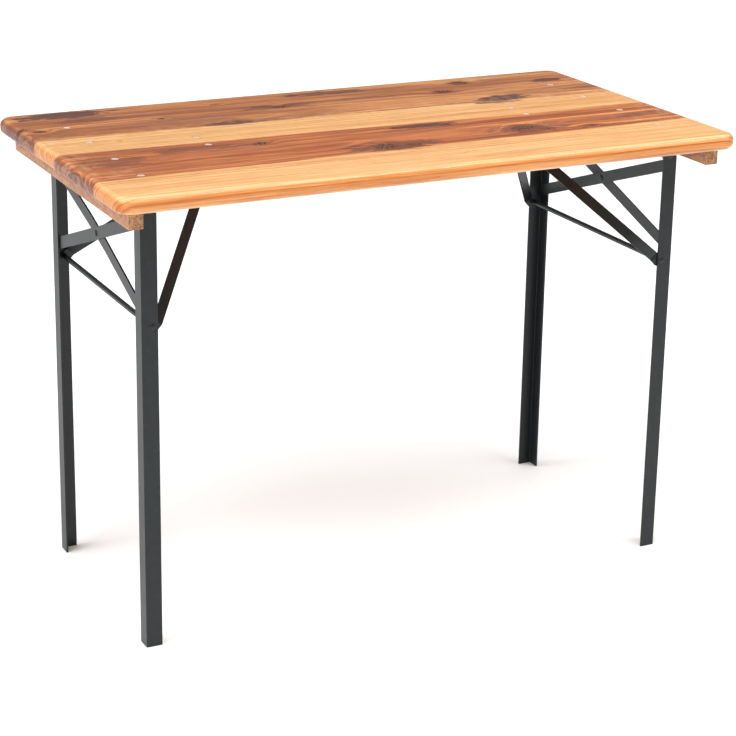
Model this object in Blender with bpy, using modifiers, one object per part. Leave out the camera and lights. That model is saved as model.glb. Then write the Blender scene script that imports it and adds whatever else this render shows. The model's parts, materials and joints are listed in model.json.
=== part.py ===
"""Folding table: a glued board top on two battens, carried by two angle-iron leg frames.

Each leg frame swings about hinge plates under the top. A V-shaped strut turns on the frame's tie rod and
hooks its cross pin into a sprung catch. Metres, +Z up, origin on the floor under the middle of the top,
+X along the table's length. "u" is the distance inward from a given point, towards the table's middle.
"""
import math

import bmesh
import bpy
from mathutils import Matrix, Vector

# ---- overall sizes ----------------------------------------------------------------------------------
TOP_LENGTH = 1.100
TOP_WIDTH = 0.600
TABLE_HEIGHT = 0.770
TOP_THICKNESS = 0.027

# ---- glued boards -----------------------------------------------------------------------------------
FRONT_BOARD = 0.116           # widths, from the front edge; the back board takes the rest
MIDDLE_BOARD = 0.172
SAPWOOD_BOARD = 0.100
PLAN_CORNER_RADIUS = 0.026
EDGE_FLAT = 0.004             # upright flat between the two rounded edges
EDGE_RADIUS = (TOP_THICKNESS - EDGE_FLAT) / 2
GLUE_GAP = 0.0003

# ---- battens ----------------------------------------------------------------------------------------
BATTEN_END_INSET = 0.024
BATTEN_WIDTH = 0.024
BATTEN_HEIGHT = 0.028
BATTEN_SIDE_INSET = 0.025
BATTEN_EDGE = 0.001
SCREW_LENGTH = 0.043
SCREW_RADIUS = 0.0022
SCREW_HEAD_RADIUS = 0.0042
SCREW_RIM = 0.001

# ---- leg frames -------------------------------------------------------------------------------------
LEG_END_INSET = 0.065         # from the end of the top to the legs' outer faces
LEG_SIDE_INSET = 0.0875       # from the long edge of the top to the narrower frame's legs
ANGLE_FLANGE = 0.027
STEEL = 0.003
NEST = 0.0035                 # the right frame nests outside and under the left one when folded
PIVOT_INSET = 0.017           # hinge axis and tie rod, in from the outer face
PIVOT_DROP = 0.017            # hinge axis below the underside of the top
LEG_RISE = 0.008              # leg above the hinge axis
LEG_CORNER_CUT = 0.005
ANGLE_OUTER_FILLET = 0.0016
ANGLE_INNER_FILLET = 0.0010
TIE_DROP = 0.186              # tie rod below the hinge axis
TIE_RADIUS = 0.0045
TIE_JOURNAL_RADIUS = 0.003
TIE_HEAD_RADIUS = 0.0055
TIE_HEAD = 0.002

# ---- cross braces -----------------------------------------------------------------------------------
BRACE_WIDTH = 0.0205
BRACE_DROP = 0.091            # crossing of the braces below the hinge axis
BRACE_RISE = 0.350            # rise per unit of width
BRACE_CROSSING = 0.034        # half of the inner bar's flat middle, where it crosses the outer bar
BRACE_BOW = 0.136             # length over which it eases back to the flanges
BRACE_RIVET_RADIUS = 0.003
BRACE_RIVET_HEAD_RADIUS = 0.0055
BRACE_RIVET_HEAD = 0.0018

# ---- hinge plates -----------------------------------------------------------------------------------
HINGE_PLATE = 0.0025
HINGE_PLATE_WIDTH = 0.024
HINGE_RIVETS_IN = (0.1525, 0.0385)   # in from the narrower frame's legs: inner rivet, outer rivet
HINGE_PLATE_END = 0.014       # plate beyond its inner rivet
HINGE_EAR_WIDTH = 0.018
HINGE_EAR_BELOW = 0.008
HINGE_BEND = 0.004
PIVOT_RADIUS = 0.004
PIVOT_HEAD_RADIUS = 0.007
PIVOT_HEAD = 0.0025

# ---- struts -----------------------------------------------------------------------------------------
STRUT_WIDTH = 0.018
STRUT_OFFSET = 0.004          # strip's centreline below the line from tie rod to cross pin
STRUT_EYE = 0.007             # strip beyond its hole
STRUT_LUG = 0.012             # straight lug inside the rod's hole
STRUT_TIP = 0.020             # straight tip before the cross pin
STRUT_BEND = 0.006
STRUT_END_ROUND = 0.0086
STRUT_TIP_Y = 0.015
STRUT_PIN_IN = TIE_DROP - 0.006   # cross pin in from the hinge axis; the folded rod lands beside it
STRUT_PIN_DROP = 0.010        # cross pin below the underside
STRUT_PIN_RADIUS = 0.004
STRUT_PIN_JOURNAL = 0.0025
STRUT_PIN_HEAD_RADIUS = 0.0045
STRUT_PIN_HEAD = 0.0013

# ---- catches (u measured inward from the cross pin) -------------------------------------------------
CATCH_PLATE = 0.002
CATCH_RIVET_OUT = 0.009
CATCH_RIVET_Y = 0.026
CATCH_PLATE_OUT = 0.018
CATCH_PLATE_IN = 0.004
CATCH_PLATE_HALF = 0.035
CATCH_STEM_END = 0.046
CATCH_STEM_HALF = 0.0135
CATCH_SEAT_RADIUS = 0.0044
CATCH_HOOK_WALL = 0.004
CATCH_HOOK_FLOOR = 0.0022
CATCH_HOOK_HALF = 0.011
CATCH_HOOK_LIP_ANGLE = math.radians(-110)
LEVER = 0.0012
LEVER_HALF = 0.010
LEVER_NOSE_U = 0.0053
LEVER_NOSE_LOW = -0.0012
LEVER_NOSE_TOP = 0.0016
LEVER_PIN_U = 0.036
LEVER_PIN_UP = 0.003
LEVER_PIN_RADIUS = 0.0015
LEVER_KNUCKLE_RADIUS = 0.0031
LEVER_KNUCKLE_END = 0.0025    # knuckle from one side of the lever to just past its middle
LEVER_EAR_IN = 0.0112
LEVER_EAR_HALF = 0.005
LEVER_EAR_BELOW = 0.004
SPRING_WIRE_RADIUS = 0.0004
SPRING_TURNS = 4
SPRING_RADIUS = 0.0023
SPRING_TAIL = 0.007

# ---- rivets through the top -------------------------------------------------------------------------
RIVET_RADIUS = 0.003
RIVET_HEAD_RADIUS = 0.0065
RIVET_HEAD = 0.0016
RIVET_TAIL_RADIUS = 0.005
RIVET_TAIL = 0.002

GAP = 0.0003                  # between pieces that touch
FIT = 0.0002                  # radial clearance of a turning fit
HOLE = 0.0004                 # radial clearance of a rivet hole
ROUND = 16                    # sides of a round piece
SMALL_ROUND = 12              # sides of a small rivet, pin or screw

UNDERSIDE = TABLE_HEIGHT - TOP_THICKNESS
SIDES = {"left": -1, "right": 1}
ENDS = {"front": -1, "back": 1}

COLOURS = {
    "heartwood": ((0.42, 0.17, 0.085, 1), 0.35, 0.0),
    "sapwood": ((0.80, 0.50, 0.24, 1), 0.35, 0.0),
    "batten_wood": ((0.52, 0.28, 0.15, 1), 0.7, 0.0),
    "frame_paint": ((0.035, 0.045, 0.05, 1), 0.4, 0.0),
    "zinc": ((0.62, 0.62, 0.64, 1), 0.35, 1.0),
    "spring_steel": ((0.32, 0.33, 0.35, 1), 0.3, 1.0),
}


# ---- scene helpers ----------------------------------------------------------------------------------
def clear_scene():
    for obj in list(bpy.data.objects):
        bpy.data.objects.remove(obj, do_unlink=True)


def collection(name):
    group = bpy.data.collections.new(name)
    bpy.context.scene.collection.children.link(group)
    return group


def material(node_name, kind):
    colour, roughness, metallic = COLOURS[kind]
    mat = bpy.data.materials.new(node_name + "_" + kind)
    mat.use_nodes = True
    shader = mat.node_tree.nodes["Principled BSDF"]
    shader.inputs["Base Color"].default_value = colour
    shader.inputs["Roughness"].default_value = roughness
    shader.inputs["Metallic"].default_value = metallic
    mat.diffuse_color = colour
    return mat


def axis_empty(name, location, parent=None):
    empty = bpy.data.objects.new(name, None)
    empty.empty_display_size = 0.03
    GUIDES.objects.link(empty)
    empty.parent = parent
    empty.location = Vector(location) - (world_of(parent) if parent else Vector())
    return empty


def world_of(empty):
    place = empty.location.copy()
    while empty.parent:
        empty = empty.parent
        place += empty.location
    return place


def piece(name, mesh, kind, location=(0, 0, 0), rotation=(0, 0, 0), parent=None):
    """A named sub-part. location is in world space, and the parent empty is unrotated."""
    obj = bpy.data.objects.new(name, mesh)
    PARTS.objects.link(obj)
    mesh.name = name
    mesh.materials.clear()
    mesh.materials.append(material(name, kind))
    obj.parent = parent
    obj.location = Vector(location) - (world_of(parent) if parent else Vector())
    obj.rotation_euler = rotation
    return obj


# ---- shapes -----------------------------------------------------------------------------------------
def mesh_of(bm):
    bmesh.ops.recalc_face_normals(bm, faces=bm.faces)
    mesh = bpy.data.meshes.new("shape")
    bm.to_mesh(mesh)
    bm.free()
    return mesh


def evaluated_mesh(obj):
    """The object's mesh with its modifiers applied. The object is removed."""
    PARTS.objects.link(obj)
    depsgraph = bpy.context.evaluated_depsgraph_get()
    depsgraph.update()
    mesh = bpy.data.meshes.new_from_object(obj.evaluated_get(depsgraph))
    bpy.data.objects.remove(obj, do_unlink=True)
    bm = bmesh.new()
    bm.from_mesh(mesh)
    bmesh.ops.remove_doubles(bm, verts=bm.verts, dist=0.00001)
    bmesh.ops.dissolve_limit(bm, angle_limit=math.radians(0.5), verts=bm.verts, edges=bm.edges)
    return mesh_of(bm)


def prism(outline, depth):
    """A flat outline in the local XY plane, given a thickness of depth along local Z, centred on it."""
    curve = bpy.data.curves.new("outline", "CURVE")
    curve.dimensions = "2D"
    curve.fill_mode = "BOTH"
    curve.extrude = depth / 2
    spline = curve.splines.new("POLY")
    spline.points.add(len(outline) - 1)
    for point, (x, y) in zip(spline.points, outline):
        point.co = (x, y, 0, 1)
    spline.use_cyclic_u = True
    return evaluated_mesh(bpy.data.objects.new("outline", curve))


def arc(centre, radius, start, end, steps):
    """Points on an arc, both ends included."""
    points = []
    for i in range(steps + 1):
        a = start + (end - start) * i / steps
        points.append((centre[0] + radius * math.cos(a), centre[1] + radius * math.sin(a)))
    return points


def rounded_path(points, radius, steps=4):
    """An open path whose inner corners are rounded by arcs of the given radius."""
    path = [Vector(points[0])]
    for before, corner, after in zip(points, points[1:], points[2:]):
        corner = Vector(corner)
        a = (Vector(before) - corner).normalized()
        b = (Vector(after) - corner).normalized()
        half = a.angle(b) / 2
        back = radius / math.tan(half)
        centre = corner + (a + b).normalized() * (radius / math.sin(half))
        start = corner + a * back - centre
        sweep = start.angle_signed(corner + b * back - centre)
        for i in range(steps + 1):
            path.append(centre + Matrix.Rotation(-sweep * i / steps, 2) @ start)
    path.append(Vector(points[-1]))
    return path


def strip_outline(path, thickness):
    """The closed outline of a strip of even thickness along an open path."""
    left = []
    right = []
    for i, point in enumerate(path):
        ahead = (path[min(i + 1, len(path) - 1)] - point).normalized() if i < len(path) - 1 else None
        behind = (point - path[i - 1]).normalized() if i > 0 else None
        direction = ((ahead or behind) + (behind or ahead)).normalized()
        normal = Vector((-direction.y, direction.x))
        side = Vector((-(ahead or behind).y, (ahead or behind).x))
        reach = thickness / 2 / normal.dot(side)
        left.append(point + normal * reach)
        right.append(point - normal * reach)
    return [tuple(p) for p in left + right[::-1]]


def box_bmesh(size, centre=(0, 0, 0)):
    bm = bmesh.new()
    bmesh.ops.create_cube(bm, size=1)
    bmesh.ops.scale(bm, vec=size, verts=bm.verts)
    bmesh.ops.translate(bm, vec=centre, verts=bm.verts)
    return bm


def box(size, centre=(0, 0, 0), edge=0.0):
    bm = box_bmesh(size, centre)
    if edge:
        bmesh.ops.bevel(bm, geom=bm.edges[:], offset=edge, segments=1, profile=0.5, affect="EDGES")
    return mesh_of(bm)


def turned(profile, steps=ROUND):
    """A solid turned about Z. profile runs from top to bottom as (radius, height)."""
    mesh = bpy.data.meshes.new("profile")
    mesh.from_pydata([(r, 0, z) for r, z in profile], [(i, i + 1) for i in range(len(profile) - 1)], [])
    obj = bpy.data.objects.new("profile", mesh)
    screw = obj.modifiers.new("turn", "SCREW")
    screw.steps = steps
    screw.render_steps = steps
    screw.use_merge_vertices = True
    screw.merge_threshold = 0.00001
    solid = evaluated_mesh(obj)
    smooth(solid)
    return solid


def smooth(mesh):
    mesh.shade_smooth()
    mesh.set_sharp_from_angle(angle=math.radians(35))


def stepped(segments, steps=ROUND):
    """A turned solid made of coaxial steps, listed from the top as (radius, top, bottom)."""
    profile = [(0, segments[0][1])]
    for radius, top, bottom in segments:
        profile.append((radius, top))
        profile.append((radius, bottom))
    profile.append((0, segments[-1][2]))
    return turned(profile, steps)


# ---- cutting and joining ----------------------------------------------------------------------------
def tool(target, mesh, location, rotation, operation):
    """A hidden tool object that is joined to, or cut from, the target by an exact Boolean."""
    obj = bpy.data.objects.new(target.name + "_tool", mesh)
    CUTTERS.objects.link(obj)
    obj.parent = target.parent
    obj.location = Vector(location) - (world_of(target.parent) if target.parent else Vector())
    obj.rotation_euler = rotation
    obj.hide_render = True
    obj.display_type = "WIRE"
    modifier = target.modifiers.new(operation.lower(), "BOOLEAN")
    modifier.operation = operation
    modifier.solver = "EXACT"
    modifier.object = obj
    return obj


ALONG = {"X": (0, math.pi / 2, 0), "Y": (math.pi / 2, 0, 0), "Z": (0, 0, 0)}
IN_XZ = (math.pi / 2, 0, 0)
IN_YZ = (math.pi / 2, 0, math.pi / 2)


def cylinder(radius, length):
    bm = bmesh.new()
    bmesh.ops.create_cone(
        bm, cap_ends=True, segments=ROUND, radius1=radius, radius2=radius, depth=length
    )
    return mesh_of(bm)


def drill(target, centre, axis, radius, length):
    tool(target, cylinder(radius, length), centre, ALONG[axis], "DIFFERENCE")


# ---- where things are -------------------------------------------------------------------------------
class Frame:
    """The places of one leg frame, worked out from the driving sizes."""

    def __init__(self, side):
        self.side = side
        self.sign = SIDES[side]
        nest = NEST if side == "right" else 0.0
        self.outer_x = self.sign * (TOP_LENGTH / 2 - LEG_END_INSET)
        self.half_width = TOP_WIDTH / 2 - LEG_SIDE_INSET + nest
        self.pivot_x = self.outer_x - self.sign * PIVOT_INSET
        self.pivot_z = UNDERSIDE - PIVOT_DROP - nest
        self.tie_x = self.pivot_x - self.sign * nest     # so that both struts fold to the same level
        self.tie_z = self.pivot_z - TIE_DROP
        self.pin_x = self.pivot_x - self.sign * STRUT_PIN_IN
        self.pin_z = UNDERSIDE - STRUT_PIN_DROP
        self.brace_z = self.pivot_z - BRACE_DROP
        self.inner_y = self.half_width - STEEL
        self.lug_y = self.inner_y - GAP - STEEL / 2
        run = abs(self.tie_x - self.pin_x)
        self.strut_reach = math.hypot(run, self.pin_z - self.tie_z)
        self.strut_angle = math.atan2(self.pin_z - self.tie_z, run)

    def inward(self, x, u):
        """The X that lies u further in than x."""
        return x - self.sign * u


def board_spans():
    """Each board's front and back edge."""
    first = -TOP_WIDTH / 2 + FRONT_BOARD
    second = first + MIDDLE_BOARD
    third = second + SAPWOOD_BOARD
    return {
        "front": (-TOP_WIDTH / 2, first), "middle": (first, second),
        "sapwood": (second, third), "back": (third, TOP_WIDTH / 2)
    }


def hinge_rivet_ys():
    return [TOP_WIDTH / 2 - LEG_SIDE_INSET - inset for inset in HINGE_RIVETS_IN]


def rivet_places(frame):
    """The rivets that hold a frame's fittings to the top, as (name, x, y, plate thickness)."""
    places = []
    for end, along in ENDS.items():
        for place, y in zip(("inner", "outer"), hinge_rivet_ys()):
            name = f"{frame.side}_{end}_{place}_hinge_rivet"
            places.append((name, frame.pivot_x, along * y, HINGE_PLATE))
        x = frame.inward(frame.pin_x, -CATCH_RIVET_OUT)
        places.append((f"{frame.side}_{end}_catch_rivet", x, along * CATCH_RIVET_Y, CATCH_PLATE))
    return places


def batten_x(frame):
    return frame.sign * (TOP_LENGTH / 2 - BATTEN_END_INSET - BATTEN_WIDTH / 2)


def screw_ys():
    """One batten screw in the middle of each board."""
    return {name: (low + high) / 2 for name, (low, high) in board_spans().items()}


# ---- the top ----------------------------------------------------------------------------------------
def slab():
    """The whole top before it is split into boards: round plan corners, round edges."""
    bm = box_bmesh((TOP_LENGTH, TOP_WIDTH, TOP_THICKNESS))
    upright = [e for e in bm.edges if abs(e.verts[0].co.z - e.verts[1].co.z) > TOP_THICKNESS / 2]
    bmesh.ops.bevel(
        bm, geom=upright, offset=PLAN_CORNER_RADIUS, segments=8, profile=0.5, affect="EDGES"
    )
    rims = [e for e in bm.edges if abs(e.verts[0].co.z - e.verts[1].co.z) < TOP_THICKNESS / 2]
    bmesh.ops.bevel(bm, geom=rims, offset=EDGE_RADIUS, segments=5, profile=0.5, affect="EDGES")
    return bm


def slice_of(bm, low, high):
    """The part of the slab between two widths, closed where it is cut."""
    for y, direction in ((low, -1), (high, 1)):
        if abs(y) > TOP_WIDTH / 2 - GAP:
            continue
        geometry = bm.verts[:] + bm.edges[:] + bm.faces[:]
        cut = bmesh.ops.bisect_plane(
            bm, geom=geometry, plane_co=(0, y - direction * GLUE_GAP / 2, 0),
            plane_no=(0, direction, 0), clear_outer=True
        )
        rim = [e for e in cut["geom_cut"] if isinstance(e, bmesh.types.BMEdge)]
        bmesh.ops.edgeloop_fill(bm, edges=rim)
    return mesh_of(bm)


def build_boards(frames):
    kinds = {"back": "heartwood", "sapwood": "sapwood", "middle": "heartwood", "front": "sapwood"}
    for name, (low, high) in board_spans().items():
        mesh = slice_of(slab(), low, high)
        smooth(mesh)
        board = piece(name + "_board", mesh, kinds[name], (0, 0, UNDERSIDE + TOP_THICKNESS / 2))
        for frame in frames:
            for _, x, y, _ in rivet_places(frame):
                if low - RIVET_HEAD_RADIUS - HOLE < y < high + RIVET_HEAD_RADIUS + HOLE:
                    drill(board, (x, y, UNDERSIDE), "Z", RIVET_RADIUS + HOLE, TOP_THICKNESS * 3)
                    seat = 2 * (RIVET_HEAD + 2 * GAP)
                    drill(board, (x, y, TABLE_HEIGHT), "Z", RIVET_HEAD_RADIUS + HOLE, seat)
            deep = SCREW_LENGTH - BATTEN_HEIGHT + 2 * GAP
            place = (batten_x(frame), screw_ys()[name], UNDERSIDE)
            drill(board, place, "Z", SCREW_RADIUS + FIT, deep * 2)


def build_battens(frame):
    """A sawn batten under each end, with countersunk screws up into the boards."""
    length = TOP_WIDTH - 2 * BATTEN_SIDE_INSET
    mesh = box((BATTEN_WIDTH, length, BATTEN_HEIGHT - GAP), edge=BATTEN_EDGE)
    x = batten_x(frame)
    height = UNDERSIDE - GAP - (BATTEN_HEIGHT - GAP) / 2
    batten = piece(frame.side + "_batten", mesh, "batten_wood", (x, 0, height))
    taper = SCREW_HEAD_RADIUS - SCREW_RADIUS
    profile = [
        (0, SCREW_LENGTH), (SCREW_RADIUS, SCREW_LENGTH - 2 * SCREW_RADIUS),
        (SCREW_RADIUS, SCREW_RIM + taper), (SCREW_HEAD_RADIUS, SCREW_RIM), (SCREW_HEAD_RADIUS, 0), (0, 0)
    ]
    low = UNDERSIDE - BATTEN_HEIGHT + GAP
    for name, y in screw_ys().items():
        drill(batten, (x, y, height), "Z", SCREW_RADIUS + FIT, BATTEN_HEIGHT * 2)
        seat = 2 * (SCREW_RIM + taper + 2 * GAP)
        drill(batten, (x, y, UNDERSIDE - BATTEN_HEIGHT), "Z", SCREW_HEAD_RADIUS + FIT, seat)
        piece(f"{frame.side}_{name}_batten_screw", turned(profile, SMALL_ROUND), "zinc", (x, y, low))


def build_rivets(frame):
    """Flush flat heads in the top, tails closed over the fittings below."""
    for name, x, y, plate in rivet_places(frame):
        high = TABLE_HEIGHT - GAP
        tail = UNDERSIDE - plate - 2 * GAP
        mesh = stepped([
            (RIVET_HEAD_RADIUS, 0, -RIVET_HEAD), (RIVET_RADIUS, -RIVET_HEAD, tail - high),
            (RIVET_TAIL_RADIUS, tail - high, tail - high - RIVET_TAIL)
        ], SMALL_ROUND)
        piece(name, mesh, "zinc", (x, y, high))


# ---- hinge plates and their rivets ------------------------------------------------------------------
def build_hinges(frame):
    """Each plate lies under the top and bends down into an ear just inside its leg."""
    high = UNDERSIDE - GAP - HINGE_PLATE / 2
    ear_y = frame.lug_y + (STEEL - HINGE_PLATE) / 2
    for end, along in ENDS.items():
        route = [
            (hinge_rivet_ys()[0] - HINGE_PLATE_END, high), (ear_y, high),
            (ear_y, frame.pivot_z - HINGE_EAR_BELOW)
        ]
        path = rounded_path([(along * y, z) for y, z in route], HINGE_BEND)
        mesh = prism(strip_outline(path, HINGE_PLATE), HINGE_PLATE_WIDTH)
        name = frame.side + "_" + end + "_hinge_plate"
        plate = piece(name, mesh, "zinc", (frame.pivot_x, 0, 0), IN_YZ)
        for y in hinge_rivet_ys():
            place = (frame.pivot_x, along * y, high)
            drill(plate, place, "Z", RIVET_RADIUS + HOLE, HINGE_PLATE * 3)
        place = (frame.pivot_x, along * ear_y, frame.pivot_z)
        drill(plate, place, "Y", PIVOT_RADIUS + FIT, HINGE_PLATE * 3)
        spare = (HINGE_PLATE_WIDTH - HINGE_EAR_WIDTH) / 2
        for hand in (-1, 1):
            corner = box((spare * 2, HINGE_PLATE * 4, HINGE_EAR_BELOW * 2))
            x = frame.pivot_x + hand * HINGE_PLATE_WIDTH / 2
            low = (x, along * ear_y, frame.pivot_z - HINGE_EAR_BELOW)
            tool(plate, corner, low, (0, 0, 0), "DIFFERENCE")
    outer = frame.half_width + GAP
    inner = ear_y - HINGE_PLATE / 2 - GAP
    for end, along in ENDS.items():
        rivet = stepped([
            (PIVOT_HEAD_RADIUS, outer + PIVOT_HEAD, outer), (PIVOT_RADIUS, outer, inner),
            (PIVOT_HEAD_RADIUS, inner, inner - PIVOT_HEAD)
        ])
        turn = (-along * math.pi / 2, 0, 0)
        place = (frame.pivot_x, 0, frame.pivot_z)
        piece(f"{frame.side}_{end}_pivot_rivet", rivet, "frame_paint", place, turn)


# ---- leg frame --------------------------------------------------------------------------------------
def angle_outline(x_hand, y_hand):
    """An L section with its outer corner at the origin, its flanges running to +x and +y of each hand."""
    f, t, r, s = ANGLE_FLANGE, STEEL, ANGLE_OUTER_FILLET, ANGLE_INNER_FILLET
    points = arc((r, r), r, math.pi, math.pi * 1.5, 3)
    points += [(f, 0), (f, t)]
    points += arc((t + s, t + s), s, math.pi * 1.5, math.pi, 3)
    points += [(t, f), (0, f)]
    return [(x_hand * x, y_hand * y) for x, y in points]


def build_legs(frame, empty):
    length = frame.pivot_z + LEG_RISE
    for end, along in ENDS.items():
        mesh = prism(angle_outline(-frame.sign, -along), length)
        bm = bmesh.new()
        bm.from_mesh(mesh)
        free = -frame.sign * ANGLE_FLANGE
        corner = [
            e for e in bm.edges
            if all(abs(v.co.x - free) < GAP and v.co.z > length / 2 - GAP for v in e.verts)
        ]
        bmesh.ops.bevel(
            bm, geom=corner, offset=LEG_CORNER_CUT, segments=1, profile=0.5, affect="EDGES"
        )
        outer_y = along * frame.half_width
        leg = piece(
            frame.side + "_" + end + "_leg", mesh_of(bm), "frame_paint",
            (frame.outer_x, outer_y, length / 2), parent=empty
        )
        drill(leg, (frame.pivot_x, outer_y, frame.pivot_z), "Y", PIVOT_RADIUS + FIT, STEEL * 4)
        drill(leg, (frame.tie_x, outer_y, frame.tie_z), "Y", TIE_JOURNAL_RADIUS + FIT, STEEL * 4)


def brace_mesh(frame, rising, bowed):
    """A flat bar across the frame, cut upright at both ends. A bowed bar eases over the other one."""
    half = frame.lug_y - STEEL / 2 - GAP
    tall = BRACE_WIDTH * math.hypot(1, BRACE_RISE)
    bm = box_bmesh((STEEL, half * 2, tall))
    if bowed:
        for y in (BRACE_CROSSING, BRACE_CROSSING + BRACE_BOW):
            for hand in (-1, 1):
                geometry = bm.verts[:] + bm.edges[:] + bm.faces[:]
                bmesh.ops.bisect_plane(bm, geom=geometry, plane_co=(0, hand * y, 0), plane_no=(0, 1, 0))
        step = -frame.sign * (STEEL + GAP)
        for vert in bm.verts:
            if abs(vert.co.y) < BRACE_CROSSING + GAP:
                vert.co.x += step
    for vert in bm.verts:
        vert.co.z += rising * BRACE_RISE * vert.co.y
    return mesh_of(bm)


def build_braces(frame, empty):
    """The straight bar lies on the side flanges; the bowed one crosses it on the inner side."""
    x = frame.inward(frame.outer_x, STEEL + GAP + STEEL / 2)
    place = (x, 0, frame.brace_z)
    for name, rising, bowed in (("outer", frame.sign, False), ("inner", -frame.sign, True)):
        mesh = brace_mesh(frame, rising, bowed)
        bar = piece(frame.side + "_" + name + "_brace", mesh, "frame_paint", place, parent=empty)
        drill(bar, place, "X", BRACE_RIVET_RADIUS + FIT, STEEL * 6)
    outer = STEEL / 2 + GAP
    inner = -STEEL * 1.5 - 2 * GAP
    rivet = stepped([
        (BRACE_RIVET_HEAD_RADIUS, outer + BRACE_RIVET_HEAD, outer), (BRACE_RIVET_RADIUS, outer, inner),
        (BRACE_RIVET_HEAD_RADIUS, inner, inner - BRACE_RIVET_HEAD)
    ])
    turn = (0, frame.sign * math.pi / 2, 0)
    piece(frame.side + "_brace_rivet", rivet, "frame_paint", place, turn, empty)


def build_tie(frame, empty):
    shoulder = frame.lug_y - STEEL / 2 - GAP
    end = frame.half_width + GAP
    rod = stepped([
        (TIE_HEAD_RADIUS, end + TIE_HEAD, end), (TIE_JOURNAL_RADIUS, end, shoulder),
        (TIE_RADIUS, shoulder, -shoulder), (TIE_JOURNAL_RADIUS, -shoulder, -end),
        (TIE_HEAD_RADIUS, -end, -end - TIE_HEAD)
    ])
    place = (frame.tie_x, 0, frame.tie_z)
    piece(frame.side + "_tie_rod", rod, "frame_paint", place, ALONG["Y"], empty)


# ---- strut ------------------------------------------------------------------------------------------
def build_strut(frame, empty):
    """Two bent arms that turn on the tie rod and carry the cross pin between their tips."""
    reach = frame.strut_reach
    turn = (0, -frame.strut_angle, 0)
    if frame.sign > 0:
        turn = (0, frame.strut_angle - math.pi, 0)
    rod = (frame.tie_x, 0, frame.tie_z)
    pin = (frame.pin_x, 0, frame.pin_z)
    for end, along in ENDS.items():
        route = [
            (-STRUT_EYE, frame.lug_y), (STRUT_LUG, frame.lug_y), (reach - STRUT_TIP, STRUT_TIP_Y),
            (reach + STRUT_EYE, STRUT_TIP_Y)
        ]
        path = rounded_path([(a, along * y) for a, y in route], STRUT_BEND)
        mesh = prism(strip_outline(path, STEEL), STRUT_WIDTH)
        bm = bmesh.new()
        bm.from_mesh(mesh)
        corners = []
        for edge in bm.edges:
            a, b = edge.verts
            at_end = a.co.x < -STRUT_EYE + GAP or a.co.x > reach + STRUT_EYE - GAP
            if at_end and abs(a.co.x - b.co.x) < GAP and abs(a.co.z - b.co.z) < GAP:
                corners.append(edge)
        bmesh.ops.bevel(
            bm, geom=corners, offset=STRUT_END_ROUND, segments=5, profile=0.5, affect="EDGES"
        )
        bmesh.ops.translate(bm, vec=(0, 0, frame.sign * STRUT_OFFSET), verts=bm.verts)
        name = frame.side + "_" + end + "_strut_arm"
        arm = piece(name, mesh_of(bm), "frame_paint", rod, turn, empty)
        lug = (rod[0], along * frame.lug_y, rod[2])
        drill(arm, lug, "Y", TIE_JOURNAL_RADIUS + FIT, STEEL * 4)
        drill(arm, (pin[0], along * STRUT_TIP_Y, pin[2]), "Y", STRUT_PIN_JOURNAL + FIT, STEEL * 4)
    inner = STRUT_TIP_Y - STEEL / 2 - GAP
    outer = STRUT_TIP_Y + STEEL / 2 + GAP
    cross = stepped([
        (STRUT_PIN_HEAD_RADIUS, outer + STRUT_PIN_HEAD, outer), (STRUT_PIN_JOURNAL, outer, inner),
        (STRUT_PIN_RADIUS, inner, -inner), (STRUT_PIN_JOURNAL, -inner, -outer),
        (STRUT_PIN_HEAD_RADIUS, -outer, -outer - STRUT_PIN_HEAD)
    ])
    piece(frame.side + "_strut_pin", cross, "zinc", pin, ALONG["Y"], empty)


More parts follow.
